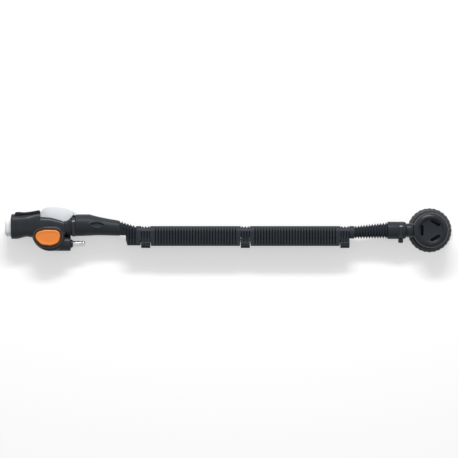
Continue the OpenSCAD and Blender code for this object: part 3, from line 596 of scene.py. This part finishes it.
def inflator_cuff():
    """Oval rings between two edge curves, with a seat for the tie and the panel pressed in."""
    length = ROOT_START - CUFF_START
    seat, seat_end = TIE_1_X - CUFF_START - 0.05, TIE_1_X + TIE_W - CUFF_START + 0.05
    stations = np.array([0, seat, seat_end, seat_end + 0.25, seat_end + 1.2, 0.35 * length, 0.46 * length,
                         0.58 * length, 0.8 * length, 0.97 * length, length])
    top = [17.7, 18.8, 18.8, 21.2, 22, 22, 20.2, 18.1, 14.9, 12.7, 11.8]
    bottom = [-10.1, -10, -10, -10.5, -10.6, -10.2, -9.7, -9.5, -9.8, -10.1, -9.7]
    x = np.unique(np.concatenate([np.linspace(0, length, 220), stations, seat_end + np.linspace(0, 1.2, 12)]))
    high, low = smooth_through(stations, top, x), smooth_through(stations, bottom, x)
    outer = oval_grid(x + CUFF_START, high, low, (high - low) / 2, sides=192)
    outer = pocket(outer, CUFF_START + 0.53 * length, 6.2, 11.8, 4.0, math.radians(-3), 2.0)
    inner_x = CUFF_START + np.array([0, 29, 37, length])
    inner = round_grid(inner_x, [3.6, 3.6, 2.6, ROOT_Y], [11.6, 11.6, 7, BORE_R], sides=192)
    build("inflator_cuff", [tube(outer, inner)], "cuff_rubber", "cuff_inflator")


inflator_cuff()


# %% Valve cuff
def lathe_x(x, r, y, sides=96):
    """A closed profile of (x, radius) points turned about a line along x."""
    return round_grid(x, y, r, sides), True


TIE_2_X, TIE_2_R = VALVE_CUFF_START + 17.4, 11.85


def valve_cuff():
    """A turned sleeve with soft shoulders, a groove for the tie and a tapered mouth."""
    s, e, r = VALVE_CUFF_START, VALVE_CUFF_END, 13.0
    a, b = TIE_2_X, TIE_2_X + TIE_W
    x = [s, s, s + 0.25, s + 0.9, s + 2, a - 0.6, a - 0.2, a, a, b, b, b + 0.2, b + 0.6, e - 3.6, e - 2.6, e - 1.2,
         e - 0.3, e, e, e - 22, e - 22]
    radius = [BORE_R, r - 0.6, r - 0.25, r - 0.03, r, r, r - 0.1, r - 0.35, TIE_2_R, TIE_2_R, r - 0.35, r - 0.1, r, r,
              r - 0.25, r - 1, r - 1.7, r - 2, SOCKET_R, SOCKET_R, BORE_R]
    build("valve_cuff", [lathe_x(x, radius, VALVE_Y)], "cuff_rubber", "cuff_valve")


valve_cuff()

# %% [markdown]
# ## Cable ties
# A tie is a nylon strap through a square head, its end cut off short. The strap is a turned band with
# rounded edges. The head and the stubs beside it are small blocks, turned together about the hose's axis.

# %% Ties
def rounded_block(size, r=0.5, steps=4):
    """A block with rounded edges as rings from back to front: a rounded rectangle that draws in at both ends."""
    draw, run = (r * share for share in rounded_corner(steps))
    inset = np.concatenate([draw, draw[::-1]])
    depth = np.concatenate([-size[0] / 2 + run, size[0] / 2 - run[::-1]])
    corner = around(4 * steps)
    cy = np.sign(np.cos(corner + 0.01)) * (size[1] / 2 - r)
    cz = np.sign(np.sin(corner + 0.01)) * (size[2] / 2 - r)
    y = cy[None, :] + (r - inset[:, None]) * np.cos(corner)[None, :]
    z = cz[None, :] + (r - inset[:, None]) * np.sin(corner)[None, :]
    return spread(depth[:, None], y, z)


def turned(points, angle):
    """Points turned about the x axis."""
    c, s = math.cos(angle), math.sin(angle)
    x, y, z = np.moveaxis(points, -1, 0)
    return spread(x, y * c - z * s, y * s + z * c)


def cable_tie(name, node, x, y, r, head_from, head_to, head_angle):
    """Strap, a head between two radii, its neck, and the stubs where the strap enters and leaves it."""
    edge = 0.3
    band_x = x + np.array([0, 0, edge, TIE_W - edge, TIE_W, TIE_W])
    band_r = r + np.array([0, TIE_T - edge, TIE_T, TIE_T, TIE_T - edge, 0])
    band = lathe_x(band_x, band_r, y, sides=128)
    middle = np.array([x + TIE_W / 2, y, 0])
    neck = (r + TIE_T / 2 + head_to - 0.5) / 2
    blocks = [((7.2, head_to - head_from, 6.0), (head_from + head_to) / 2, 0, 0.6),
              ((TIE_W, head_to - 0.5 - r - TIE_T / 2, 6.0), neck, 0, 0.3),
              ((4.2, 1.0, 2.2), head_from + 0.9, 3.6, 0.3), ((4.4, 0.5, 1.8), head_to + 0.1, 0, 0.2)]
    blocks = [turned(rounded_block(size, corner) + [0, up, side], head_angle) + middle
              for size, up, side, corner in blocks]
    build(name, [band, *blocks], "tie_nylon", node)


cable_tie("inflator_tie", "tie_inflator", TIE_1_X, TIE_1_Y, TIE_1_R, 17.6, 20.4, math.radians(-45))
cable_tie("valve_tie", "tie_valve", TIE_2_X, VALVE_Y, TIE_2_R + 0.05, 13.2, 18.6, math.radians(180))

# %% [markdown]
# ## Inflate button
# The button is a rounded pebble. Its outline is what a tight band round six circles would give: in each
# direction, the circle that reaches furthest carries the point. Shrinking all the circles together
# gives the next ring inwards, so a rounded edge is only a list of insets and heights.

# %% Button and bezel
CORNERS = np.array([[2.2, -11.4, 8.9], [22.3, -10.1, 9.2], [15.4, -14.6, 10.9], [8.8, -11.2, 10.6],
                    [6.6, -14.5, 9.9], [21.3, -14.2, 9.4]]) + [NECK_X, 0, 0]


def pebble(profile, sides=144):
    """Rings round the six circles, one for each (margin, height) of the profile."""
    out = np.stack([np.cos(around(sides)), np.sin(around(sides))])
    furthest = (CORNERS[:, :2] @ out + CORNERS[:, 2:]).argmax(axis=0)
    margin, height = np.array(profile, float).T
    reach = CORNERS[furthest, 2][None, :] + margin[:, None]
    x, y = CORNERS[furthest, :2].T
    return spread(x + reach * out[0], y + reach * out[1], height[:, None])


def button():
    """Flange, straight sides, a rounded rim and a face that is sunk a little inside the rim."""
    base, top = span_of("inflate_button", 2)
    rim = [(-0.8 - 1.5 * inset, top - 1.3 * drop) for drop, inset in zip(*rounded_corner(7))]
    face = [(-3, top - 0.05), (-3.8, top - 0.3), (-4.6, top - 0.45), (-6, top - 0.5), (-8.4, top - 0.5)]
    rings = pebble([(1, base), (1, base + 1.5), (0, base + 1.5), (-0.5, base + 3), *rim, *face])
    # Painted shade: below the rim the sides and flange are darkened, and they show in the gap inside the bezel.
    build("button_cap", [rings], "orange_plastic", "inflate_button", body="button", sharp=40,
          painted_shading=lambda p: 0.95 * ease((top - 0.5 - p[:, 2]) / 1.2))


def bezel():
    """A raised rim that rolls over towards the button and leaves a narrow dark gap round it."""
    base, top = span_of("button_bezel", 2)
    profile = [(1.3, base), (1.3, top - 1.1), (1.5, top - 0.5), (1.8, top - 0.1), (2.0, top), (2.3, top - 0.1),
               (3.3, top - 0.65), (3.5, top - 1.1), (3.5, base)]
    build("button_rim", [(pebble(profile), True)], "bezel_grey", "button_bezel", sharp=50)


button()
bezel()

# %% [markdown]
# ## The inflator's body
# The barrel, the neck, the valve housing and the nipple's boss flow into one moulding. Each is simple
# by itself: lofts through a few sections, and turned shapes. A voxel remesh joins them into one skin, a
# few rounds of smoothing melt the creases between them, and the openings are then cut sharp, as the
# core pins of a mould would leave them.

# %% Shapes of the body
SQUARENESS = 2.5


def loft(start, length, rings, steps=60):
    """Superellipse sections along x, each (share of the length, top, bottom, half depth), smooth in between."""
    share, *curves = np.array(rings, float).T
    t = np.unique(np.concatenate([np.linspace(share[0], share[-1], steps), share]))
    high, low, half = (smooth_through(share, curve, t) for curve in curves)
    return oval_grid(start + t * length, high, low, half, SQUARENESS)


def drill(x, y, z, radius, sides=64):
    """A cylinder along one of the axes, as two rings. The coordinate that is a pair gives its ends."""
    start, end = np.stack(np.broadcast_arrays(x, y, z)).T.astype(float)
    along = (end - start) / np.linalg.norm(end - start)
    side = np.cross(along, [0.3, 0.5, 0.8])
    side /= np.linalg.norm(side)
    angle = around(sides)[:, None]
    ring = radius * (np.cos(angle) * side + np.sin(angle) * np.cross(along, side))
    return np.stack([start + ring, end + ring])


def prism(outline, z0, z1):
    """An outline of (x, y) points carried from z0 to z1."""
    x, y = np.array(outline, float).T
    return spread(x, y, np.array([[z0], [z1]]))


def housing_grid():
    """The lower half of a round box with rolled rims: every point above its middle line is held on that line."""
    x, y, r = HOUSING
    depth, roll = HOUSING_FRONT - 2 - FLOOR_Z, 3.0
    draw, run = (roll * share for share in rounded_corner(7))
    radius = r - np.concatenate([draw, run])
    height = FLOOR_Z + np.concatenate([run, depth - draw])
    angle = around(128)
    py = np.minimum(y + radius[:, None] * np.sin(angle), y)
    px = np.minimum(x + radius[:, None] * np.cos(angle), CUFF_START - 10.5)
    return spread(px, py, height[:, None])


BARREL = [(0, 21.6, -14.1, 14.6), (0.03, 22.6, -15.1, 16), (0.2, 22.6, -14.9, 16), (0.32, 22.6, -13.8, 16),
          (0.54, 23.5, -11.7, 15.6), (0.7, 24.7, -12.5, 14.6), (0.85, 26.3, -13, 13.6), (1, 27.2, -13, 13.2)]
NECK = [(0, 20.3, -13, 12.8), (0.3, 19.4, -12, 12.2), (0.49, 17.5, -11.5, 11.8), (0.65, 15.3, -11, 11.4),
        (0.78, 13.6, -10.8, 11), (0.84, 13.8, -10.6, 11.2), (0.94, 16.4, -10.5, 12.6), (1, 18.7, -10.1, 13.9)]
SEAT_X, SEAT_Y, SEAT_SLOPE = BARREL_START + 5.5, 19.9, math.tan(math.radians(5))


def seat_height(x):
    """Height of the saddle's seat, which rises towards the lever."""
    return SEAT_Y + SEAT_SLOPE * (x - SEAT_X)


COLLAR_AT = np.array([0.8, 0.88, 0.96])
COLLAR_X = NECK_X + NECK_LENGTH * COLLAR_AT


def collar_rings():
    """Three low rings round the end of the neck, each the neck's own section grown a little."""
    share, *curves = np.array(NECK, float).T
    sections = zip(COLLAR_X, *(smooth_through(share, curve, COLLAR_AT) for curve in curves))
    along, grow = np.array([-0.9, -0.5, 0.5, 0.9]), np.array([0, 0.6, 0.6, 0])
    return [oval_grid(x + along, high + grow, low - grow, half + grow, SQUARENESS) for x, high, low, half in sections]


# %% Join, smooth and cut
def settle(piece):
    """Makes the modifiers part of the mesh."""
    depsgraph = bpy.context.evaluated_depsgraph_get()
    mesh = bpy.data.meshes.new_from_object(piece.evaluated_get(depsgraph))
    piece.modifiers.clear()
    piece.data = mesh
    shade_smooth(mesh, 38)


def remove(piece, cutters):
    """Cuts each grid out of the piece."""
    for i, cutter in enumerate(cutters):
        tool = add_mesh(f"cutter_{i}", [cutter])
        cut = piece.modifiers.new("cut", "BOOLEAN")
        cut.operation, cut.solver, cut.object = "DIFFERENCE", "EXACT", tool
        settle(piece)
        bpy.data.objects.remove(tool)


VOXEL_M = 0.00055


def inflator_shell():
    """Barrel, neck, housing, collar, button's wall and nipple's boss as one skin, then the openings."""
    front, floor = HOUSING_FRONT, FLOOR_Z
    boss = HOUSING[2] + LANE_Y - HOUSING[1]
    draw, run = (1.6 * share for share in rounded_corner(6))
    boss_x, boss_r = np.append(HOUSING[0], CUFF_START - 1.1 - draw), np.append(boss, boss - run)
    shell = add_mesh("inflator_shell", [
        loft(BARREL_START, BARREL_LENGTH, BARREL), loft(NECK_X, NECK_LENGTH, NECK), housing_grid(),
        *collar_rings(), pebble([(1.8, floor + 2), (3.8, floor + 4), (3.8, front - 1), (2.8, front)]),
        round_grid(boss_x, LANE_Y, boss_r)])
    skin = shell.modifiers.new("skin", "REMESH")
    skin.mode, skin.voxel_size = "VOXEL", VOXEL_M
    relax = shell.modifiers.new("relax", "SMOOTH")
    relax.factor, relax.iterations = 0.5, 6
    settle(shell)
    past, seat_end = NECK_X + 50, NECK_X + 2
    exhaust_x, press_x, press_y = NECK_X + 17.2, HOUSING[0] - 0.2, -13
    remove(shell, [prism([(SEAT_X, SEAT_Y), (seat_end, seat_height(seat_end)), (seat_end, 45), (SEAT_X, 45)], -25, 25),
                   prism([(NECK_X, 8), (past, 8), (past, 40), (NECK_X, 40)], -7.8, 7.8),
                   drill((SEAT_X - 4.5, past), 0, 0, PASSAGE_R), drill((0, SEAT_X + 1.6), 0, 0, SOCKET_R),
                   drill(exhaust_x, (5, -6), 0, 7), drill(exhaust_x, (9, 4), 0, PIN_R),
                   pebble([(1.4, front - 5.1), (1.4, front + 1)]),
                   *(drill(press_x, press_y, ends, radius)
                     for ends, radius in (((-0.5, front - 4.3), 5.3), ((-9, 0), 2.06), ((-12, -6), 4.5)))])

    def painted_shading(points):
        """Painted shade: dark lines between the collar's rings, and dark in the deep corner between the collar and the
        boss.
        """
        line = np.exp(-((points[:, 0, None] - COLLAR_X) / 0.6) ** 2).max(axis=1)
        corner = np.exp(-((points[:, 0] - CUFF_START + 6.8) / 2.2) ** 4 - ((points[:, 1] + 8.2) / 4.8) ** 4)
        return np.maximum(0.45 * line * ease((points[:, 1] + 8) / 3), 0.85 * corner)

    dress(mark_painted_shading(shell, painted_shading), "black_moulding", "inflator_body")


def lug():
    """The lever's hinge lug: a plate with a round top, as loops round its outline and round the pin's hole."""
    x, y, half = CUFF_START - 4.8, 17.0, 3.5
    angle = np.linspace(-math.pi, 0, 24)
    round_top = np.column_stack([x + half * np.cos(angle), y - half * np.sin(angle)])
    outline = np.concatenate([round_top, [[x + half, 7.5], [x - half, 7.5]]])
    bearing = np.arctan2(outline[:, 1] - y, outline[:, 0] - x)
    hole = np.column_stack([x + PIN_R * np.cos(bearing), y + PIN_R * np.sin(bearing)])
    loops = np.stack([outline, outline, hole, hole])
    heights = np.array([-half, half, half, -half])[:, None]
    lug_grid = spread(loops[..., 0], loops[..., 1], heights)
    build("lever_lug", [(lug_grid, True)], "black_moulding", "inflator_body")


inflator_shell()
lug()

# %% [markdown]
# ## Thumb saddle and mouthpiece
# Both are soft, so both get rounded skins. The saddle is a pad on the slanted seat: its upper edge is a
# curve that dips for the thumb and ends in a lip. The mouthpiece is an oval sleeve with a groove for a
# tie and a round tail that sits in the barrel.

# %% Saddle
def saddle():
    """A boxy oval between the slanted seat and a curve, drawn in a little at both ends."""
    start, end = SEAT_X + 0.1, NECK_X - 0.2
    span = end - start
    at = np.array([0, 0.02, 0.06, 0.14, 0.36, 0.62, 0.79, 0.9, 0.94, 0.98, 1])
    top = np.array([22.5, 24.6, 25.5, 25.6, 25.1, 26, 27.1, 27.9, 28.1, 27.6, 26.4])
    t = np.unique(np.concatenate([np.linspace(0, 1, 70), at, np.linspace(0, 0.03, 8), np.linspace(0.97, 1, 8)]))
    x = start + span * t
    high, low = smooth_through(at, top, t), seat_height(x)
    half = 10.5 - 1.2 * (1 - ease(t / 0.05)) - 1.2 * ease((t - 0.95) / 0.05)
    build("saddle_pad", [oval_grid(x, high, low, half, squareness=6)], "saddle_rubber", "thumb_saddle")


# %% Mouthpiece
def mouthpiece():
    """Oval rings out along the sleeve and its tie groove, then round rings of the tail, and back through the bore."""
    at = [0, 0.3, 1.2, 3, 3.5, 4.1, 4.9, 5.5, 6, 9]
    inset = [1.6, 0.8, 0, 0, 0.3, 1, 1, 0.3, 0, 0]
    low_cut = [1.8, 1.8, 1.4, 0, 0, 0, 0, 0, 0, 0]
    inset, low_cut = np.array(inset), np.array(low_cut)
    oval = oval_grid(np.array(at), 16.5 - inset, -11.5 + inset + low_cut, 10.4 - inset, squareness=2.6)
    tail = round_grid([9, 15.4, 16], 0, [8.5, 8.5, 8.1])
    bore = round_grid([0, 0.6, 16], 0, [7.1, 6.5, 6.5])
    build("mouthpiece_sleeve", [tube(np.concatenate([oval, tail]), bore)], "clear_silicone", "mouthpiece")


saddle()
mouthpiece()

# %% [markdown]
# ## Dump valve
# The clamp ring and the slotted cover are turned parts, so each is a profile of radius and height swept
# round the valve's axis. The ring's grips are a cosine on its radius that fades out towards the lip. The
# cover is a low dome with a bowl in its crown, and three slots are cut through the bowl's floor.

# %% Clamp ring and cover
RING_R, COVER_R, COVER_TOP = half_of("clamp_ring"), half_of("valve_cover"), span_of("valve_cover", 2)[1]
GRIPS, GRIP_DEPTH = 28, 0.32


def turned_grid(profile, sides, ripple=None):
    """Rings of (radius, height) about the valve's axis. A ripple makes a new radius of radius and angle."""
    radius, z = np.array(profile, float).T[..., None]
    angle = around(sides)[None, :]
    if ripple:
        radius = ripple(radius, angle)
    return spread(VALVE_X + radius * np.cos(angle), VALVE_Y + radius * np.sin(angle), z)


def clamp_ring():
    """A rounded ring with grips: the radius swings by a cosine, more the nearer it is to the rim."""
    low, high = span_of("clamp_ring", 2)
    rim = [(0.8, low), (0, low + 0.8), (0, low + 2.2), (0.3, low + 3.4), (1, low + 4.8), (2.1, high - 1.2),
           (3.4, high - 0.5), (4.8, high - 0.1), (5.8, high)]
    profile = [(26.2, low + 2.8), (26.7, low), *((RING_R - inset, z) for inset, z in rim),
               (26.6, high - 0.1), (26.2, high - 0.5)]

    def grips(r, angle):
        return r - GRIP_DEPTH * (1 - np.cos(GRIPS * angle)) * ease((r - 29) / 3)

    build("clamp_ring_grip", [(turned_grid(profile, GRIPS * 16, grips), True)], "ring_plastic", "clamp_ring",
          body="ring", sharp=50)


def stadium(angle, radius, width, length, points=12):
    """Outline of a slot across a radius of the valve, with half circles at both ends."""
    turn = np.linspace(0, math.pi, points)
    end_v, end_u = (length - width) / 2 + width / 2 * np.sin(turn), width / 2 * np.cos(turn)
    u, v = radius + np.concatenate([end_u, -end_u]), np.concatenate([end_v, -end_v])
    c, s = math.cos(angle), math.sin(angle)
    return np.column_stack([VALVE_X + u * c - v * s, VALVE_Y + u * s + v * c])


def cover():
    """Dome, crown and bowl in one profile: the bowl's height grows with the radius to the power of 2.2."""
    height, bowl_r = 10.3, COVER_R - 9
    dome = [(3.6, -2), (3.6, 0), (0, 0), (0, 0.8), (0.1, 3), (0.3, 5), (0.9, 6.8), (2, 8), (3.6, 9.05), (5.4, 9.9),
            (6.4, 10.25), (7, height), (7.6, 10.1), (8.1, 9.5), (8.5, 8.8)]
    bowl = [(COVER_R - r, 5.4 + 2.7 * (r / bowl_r) ** 2.2) for r in np.linspace(bowl_r, 0.4, 16)]
    under = [(COVER_R - 0.4, 3.9), (8.5, 4.4), (5.8, 2), (5.8, -2)]
    profile = [(COVER_R - inset, COVER_TOP - height + z) for inset, z in dome + bowl + under]
    piece = add_mesh("cover_dome", [(turned_grid(profile, 160), True)])
    remove(piece, [prism(stadium(math.radians(a), 13.4, 4.8, 16.2), COVER_TOP - 8, COVER_TOP) for a in (60, 180, 300)])
    dress(piece, "black_moulding", "valve_cover")


clamp_ring()
cover()

# %% [markdown]
# ## Springs
# A coil spring is a circle swept along a helix, and that is one grid: an angle along the wire and an angle round it.
# The real springs get shorter as their valves move; here each is built at its full length, and only the end that stays
# still is worked out.

# %% Springs
def spring(node, axis, wire, turns, fixed):
    """A wire along a helix in the node's box: reach * (cos, sin) across and a steady climb along the axis."""
    low, high = span_of(node, axis)
    one, two = [a for a in range(3) if a != axis]
    turn = np.linspace(0, 2 * math.pi * turns, turns * 32 + 1)[:, None]
    round_wire = around(10)[None, :]
    reach = half_of(node, one) - wire / 2 + wire / 2 * np.cos(round_wire)
    grid = np.empty((turn.size, round_wire.size, 3))
    grid[..., one] = middle_of(node, one) + reach * np.cos(turn)
    grid[..., two] = middle_of(node, two) + reach * np.sin(turn)
    grid[..., axis] = low + wire / 2 + (high - low - wire) * turn / turn[-1] + wire / 2 * np.sin(round_wire)
    piece = build(f"{node}_wire", [grid], "steel", node)
    along, still = np.eye(3)[axis], ORIGIN.copy()
    still[axis] += (low, high)[fixed]
    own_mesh(piece)


spring("button_spring", 2, 0.8, 4, 0)
spring("exhaust_spring", 1, 0.7, 3, 0)
spring("disc_spring", 2, 0.6, 3, 1)

# %% [markdown]
# ## Finishes
# The same fine grain shows on every moulded part, so it is one node group with its own scale and depth
# in each material. The group gives out colour, roughness and height that vary over the surface; the
# shader itself stays in the material, with its fixed values on its own sockets.

# %% Grain group
def feed(node, inputs):
    """Sets a node's named or numbered inputs: a socket is linked, anything else becomes the value."""
    for title, value in inputs.items():
        if isinstance(value, bpy.types.NodeSocket):
            node.id_data.links.new(value, node.inputs[title])
        else:
            node.inputs[title].default_value = value
    return node


def math_node(tree, operation, *values):
    """A Math node whose inputs are sockets or plain numbers."""
    node = tree.nodes.new("ShaderNodeMath")
    node.operation = operation
    return feed(node, dict(enumerate(values))).outputs[0]


def noise(tree, coordinates, scale, detail):
    """A noise texture on the given coordinates."""
    node = tree.nodes.new("ShaderNodeTexNoise")
    return feed(node, {"Vector": coordinates, "Scale": scale, "Detail": detail}).outputs["Fac"]


def grain_group():
    """Moulded grain: a fine noise for height and gloss, and a broad one that mottles the colour. Painted shading then
    darkens the colour, or makes it paler where it is below 0.
    """
    group = bpy.data.node_groups.new("moulded_grain", "ShaderNodeTree")
    for way, titles in (("INPUT", ("Colour", "Mottle", "Roughness", "Gloss Spread", "Grain Scale", "Painted Shading")),
                        ("OUTPUT", ("Colour", "Roughness", "Height"))):
        for title in titles:
            kind = "NodeSocketColor" if title == "Colour" else "NodeSocketFloat"
            group.interface.new_socket(title, in_out=way, socket_type=kind)
    given = group.nodes.new("NodeGroupInput").outputs
    place = group.nodes.new("ShaderNodeTexCoord").outputs["Object"]
    fine = noise(group, place, given["Grain Scale"], 2.0)
    swing = math_node(group, "SUBTRACT", noise(group, place, 90.0, 4.0), 0.5)
    level = math_node(group, "ADD", math_node(group, "MULTIPLY", swing, given["Mottle"]), 1.0)
    # Painted shading: the attribute darkens the colour where it is above 0 and makes it paler where it is below 0.
    level = math_node(group, "SUBTRACT", level, math_node(group, "MULTIPLY", given["Painted Shading"], 0.9))
    shade = group.nodes.new("ShaderNodeVectorMath")
    shade.operation = "SCALE"
    feed(shade, {0: given["Colour"], "Scale": level})
    spread_out = math_node(group, "MULTIPLY", math_node(group, "SUBTRACT", fine, 0.5), given["Gloss Spread"])
    rough = math_node(group, "ADD", math_node(group, "ADD", given["Roughness"], spread_out),
                      math_node(group, "MULTIPLY", swing, 0.12))
    feed(group.nodes.new("NodeGroupOutput"), {"Colour": shade.outputs[0], "Roughness": rough, "Height": fine})
    return group


GRAIN = grain_group()


# %% Material maker
def new_material(name):
    """A material and its Principled shader."""
    material = bpy.data.materials.new(name)
    material.use_nodes = True
    return material, material.node_tree.nodes["Principled BSDF"]


def moulded(name, colour, roughness, mottle=0.2, gloss_spread=0.12, scale=2500.0, bump_mm=0.02, specular=0.5,
            metallic=0.0, painted_shading=False):
    """A finish: the grain group feeds the Principled shader's colour, roughness and bump."""
    material, shader = new_material(name)
    nodes_of = material.node_tree.nodes
    grain, relief = nodes_of.new("ShaderNodeGroup"), nodes_of.new("ShaderNodeBump")
    grain.node_tree = GRAIN
    feed(grain, {"Colour": (*colour, 1), "Mottle": mottle, "Roughness": roughness, "Gloss Spread": gloss_spread,
                 "Grain Scale": scale})
    # Painted shading: the pieces' attribute darkens their grooves and undersides and makes some crests paler.
    if painted_shading:
        groove = nodes_of.new("ShaderNodeAttribute")
        groove.attribute_name = "painted_shading"
        feed(grain, {"Painted Shading": groove.outputs["Fac"]})
    feed(relief, {"Strength": 0.6, "Distance": bump_mm / 1000, "Height": grain.outputs["Height"]})
    feed(shader, {"Base Color": grain.outputs["Colour"], "Roughness": grain.outputs["Roughness"],
                  "Normal": relief.outputs["Normal"], "Specular IOR Level": specular, "Metallic": metallic})
    return material


# Each row is a name, a colour, a roughness and what differs from the usual values above.
FINISHES = {name: moulded(name, colour, roughness, **rest) for name, colour, roughness, rest in (
    ("clear_silicone", (0.93, 0.96, 0.97), 0.38, dict(mottle=0.1, bump_mm=0.01)),
    ("black_moulding", (0.027, 0.031, 0.038), 0.28,
     dict(mottle=0.4, gloss_spread=0.15, scale=2200, bump_mm=0.03, specular=0.15, painted_shading=True)),
    ("saddle_rubber", (0.023, 0.025, 0.027), 0.6, dict(mottle=0.4, scale=1800, bump_mm=0.05, specular=0.1)),
    ("bezel_grey", (0.06, 0.057, 0.059), 0.33, dict(specular=0.2)),
    ("orange_plastic", (1.0, 0.28, 0.045), 0.4, dict(mottle=0.1, painted_shading=True)),
    ("grey_plastic", (0.84, 0.87, 0.9), 0.35, dict(mottle=0.05, bump_mm=0.01)),
    ("steel", (0.55, 0.55, 0.56), 0.3, dict(metallic=1.0)),
    ("nipple_metal", (0.52, 0.525, 0.54), 0.25, dict(metallic=1.0)),
    ("seal_rubber", (0.01, 0.01, 0.011), 0.55, dict(specular=0.15)),
    ("cuff_rubber", (0.027, 0.032, 0.039), 0.42, dict(mottle=0.4, scale=1500, bump_mm=0.04, specular=0.13)),
    ("hose_rubber", (0.033, 0.039, 0.048), 0.46,
     dict(mottle=0.4, scale=1500, bump_mm=0.04, specular=0.12, painted_shading=True)),
    ("keeper_rubber", (0.03, 0.034, 0.041), 0.36, dict(scale=1500, bump_mm=0.04, specular=0.13, painted_shading=True)),
    ("tie_nylon", (0.012, 0.016, 0.022), 0.22, dict(gloss_spread=0.05, bump_mm=0.01, specular=0.35)),
    ("ring_plastic", (0.066, 0.069, 0.075), 0.36, dict(mottle=0.4, scale=1400, bump_mm=0.08, specular=0.15)),
    ("disc_plastic", (0.012, 0.012, 0.014), 0.45, dict(specular=0.1)),
)}
SLOT_OF = {part["node"]: part["material_slot"] for part in frame["record"]["subparts"]}
for name, node in nodes.items():
    node.data.materials.clear()
    node.data.materials.append(FINISHES[SLOT_OF[name]])
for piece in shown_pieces():
    if "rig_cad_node" not in piece:
        piece.data.materials.append(FINISHES[piece["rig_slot"]])
print("finishes:", len(FINISHES))

# %% [markdown]
# ## Softened edges on the rigid parts
# A real moulding has no razor edges, and a thin highlight on each edge tells the eye that it is solid.
# The CAD meshes stay as they are: a Weld modifier joins their triangles and a Bevel modifier rounds the
# corners when the picture is made.

# %% Bevels on CAD nodes
def soften(node, width_mm, segments=2, angle=32):
    """Weld, then a small bevel on edges that turn more than the angle, with smooth shading between."""
    piece = nodes[node]
    weld = piece.modifiers.new("weld", "WELD")
    weld.merge_threshold = 2e-6
    bevel = piece.modifiers.new("soft_edges", "BEVEL")
    bevel.width = width_mm / 1000
    bevel.segments = segments
    bevel.limit_method = "ANGLE"
    bevel.angle_limit = math.radians(angle)
    bevel.harden_normals = True
    piece.data.polygons.foreach_set("use_smooth", np.ones(len(piece.data.polygons), bool))


for name, width in {"exhaust_lever": 0.5, "nipple_collar": 0.2, "qd_nipple": 0.15, "elbow_body": 0.4}.items():
    soften(name, width)

# %% [markdown]
# ## Studio
# The part lies on a white table, in a pale room. Two lamps stand on the lever's side: a broad one that
# shapes the forms, and a narrow, stronger one that draws the highlights. The table and the room are
# white only to the rays that see them, so the dark rubber isn't washed out, and the table keeps the
# part's shadow.

# %% Floor and room
def white_to_the_eye(tree, see, work):
    """Mixes two shaders: the first for camera, glossy and transmitted rays, the second for all others."""
    path = tree.nodes.new("ShaderNodeLightPath")
    seen = math_node(tree, "MAXIMUM", path.outputs["Is Camera Ray"],
                     math_node(tree, "MAXIMUM", path.outputs["Is Glossy Ray"], path.outputs["Is Transmission Ray"]))
    return feed(tree.nodes.new("ShaderNodeMixShader"), {0: seen, 1: work, 2: see}).outputs[0]


def make_floor():
    """A pale table whose colour is lifted to white for the rays that look at it."""
    mesh = bpy.data.meshes.new("table")
    mesh.from_pydata([(-6, -6, 0), (6, -6, 0), (6, 6, 0), (-6, 6, 0)], [], [(0, 1, 2, 3)])
    table = into_scene("table", mesh)
    material, matte = new_material("table_white")
    tree = material.node_tree
    feed(matte, {"Base Color": (0.8, 0.8, 0.8, 1), "Roughness": 0.9, "Specular IOR Level": 0.0})
    glow = feed(tree.nodes.new("ShaderNodeEmission"), {"Strength": 0.45})
    both = feed(tree.nodes.new("ShaderNodeAddShader"), {0: matte.outputs[0], 1: glow.outputs[0]})
    feed(tree.nodes["Material Output"], {0: white_to_the_eye(tree, both.outputs[0], matte.outputs[0])})
    mesh.materials.append(material)


def make_room():
    """A world that lights softly and looks white."""
    world = bpy.data.worlds.new("room")
    bpy.context.scene.world = world
    world.use_nodes = True
    tree = world.node_tree
    light = feed(tree.nodes["Background"], {"Color": (1, 1, 1, 1), "Strength": 0.34})
    white = feed(tree.nodes.new("ShaderNodeBackground"), {"Color": (1, 1, 1, 1), "Strength": 1.0})
    feed(tree.nodes["World Output"], {0: white_to_the_eye(tree, white.outputs[0], light.outputs[0])})


make_floor()
make_room()


# %% Lamps
def soft_light(name, place, aim, size, power):
    """A rectangular area lamp that looks at a point."""
    data = bpy.data.lights.new(name, "AREA")
    data.shape = "RECTANGLE"
    data.size, data.size_y = size
    data.energy = power
    lamp = into_scene(name, data)
    lamp.location = place
    direction = Vector(aim) - lamp.location
    lamp.rotation_euler = direction.to_track_quat("-Z", "Y").to_euler()


soft_light("key_light", (0.0, 1.4, 1.0), (0, 0, 0), (1.6, 0.5), 6)
soft_light("sparkle", (0.0, 1.45, 0.94), (0, 0, 0), (0.95, 0.16), 20)

# %% [markdown]
# ## Camera
# The view is straight down with a long lens from four metres, so that the tall parts hardly lean. The
# lens follows from the width of the picture at the height of the hose's axis.

# %% Camera
VIEW_WIDTH_MM, DISTANCE_M = 687.0, 4.0
CENTRE_X_M, CENTRE_Y_M, SENSOR_MM = 0.0001, 0.0011, 36.0
camera = into_scene("camera", bpy.data.cameras.new("camera"))
camera.location = (CENTRE_X_M, CENTRE_Y_M, DISTANCE_M)
camera.data.sensor_width = SENSOR_MM
camera.data.lens = SENSOR_MM * (DISTANCE_M * 1000 - ORIGIN[2]) / VIEW_WIDTH_MM
camera.data.clip_end = 50
bpy.context.scene.camera = camera
bpy.context.scene.view_settings.view_transform = "Standard"
print(f"lens {camera.data.lens:.0f} mm")
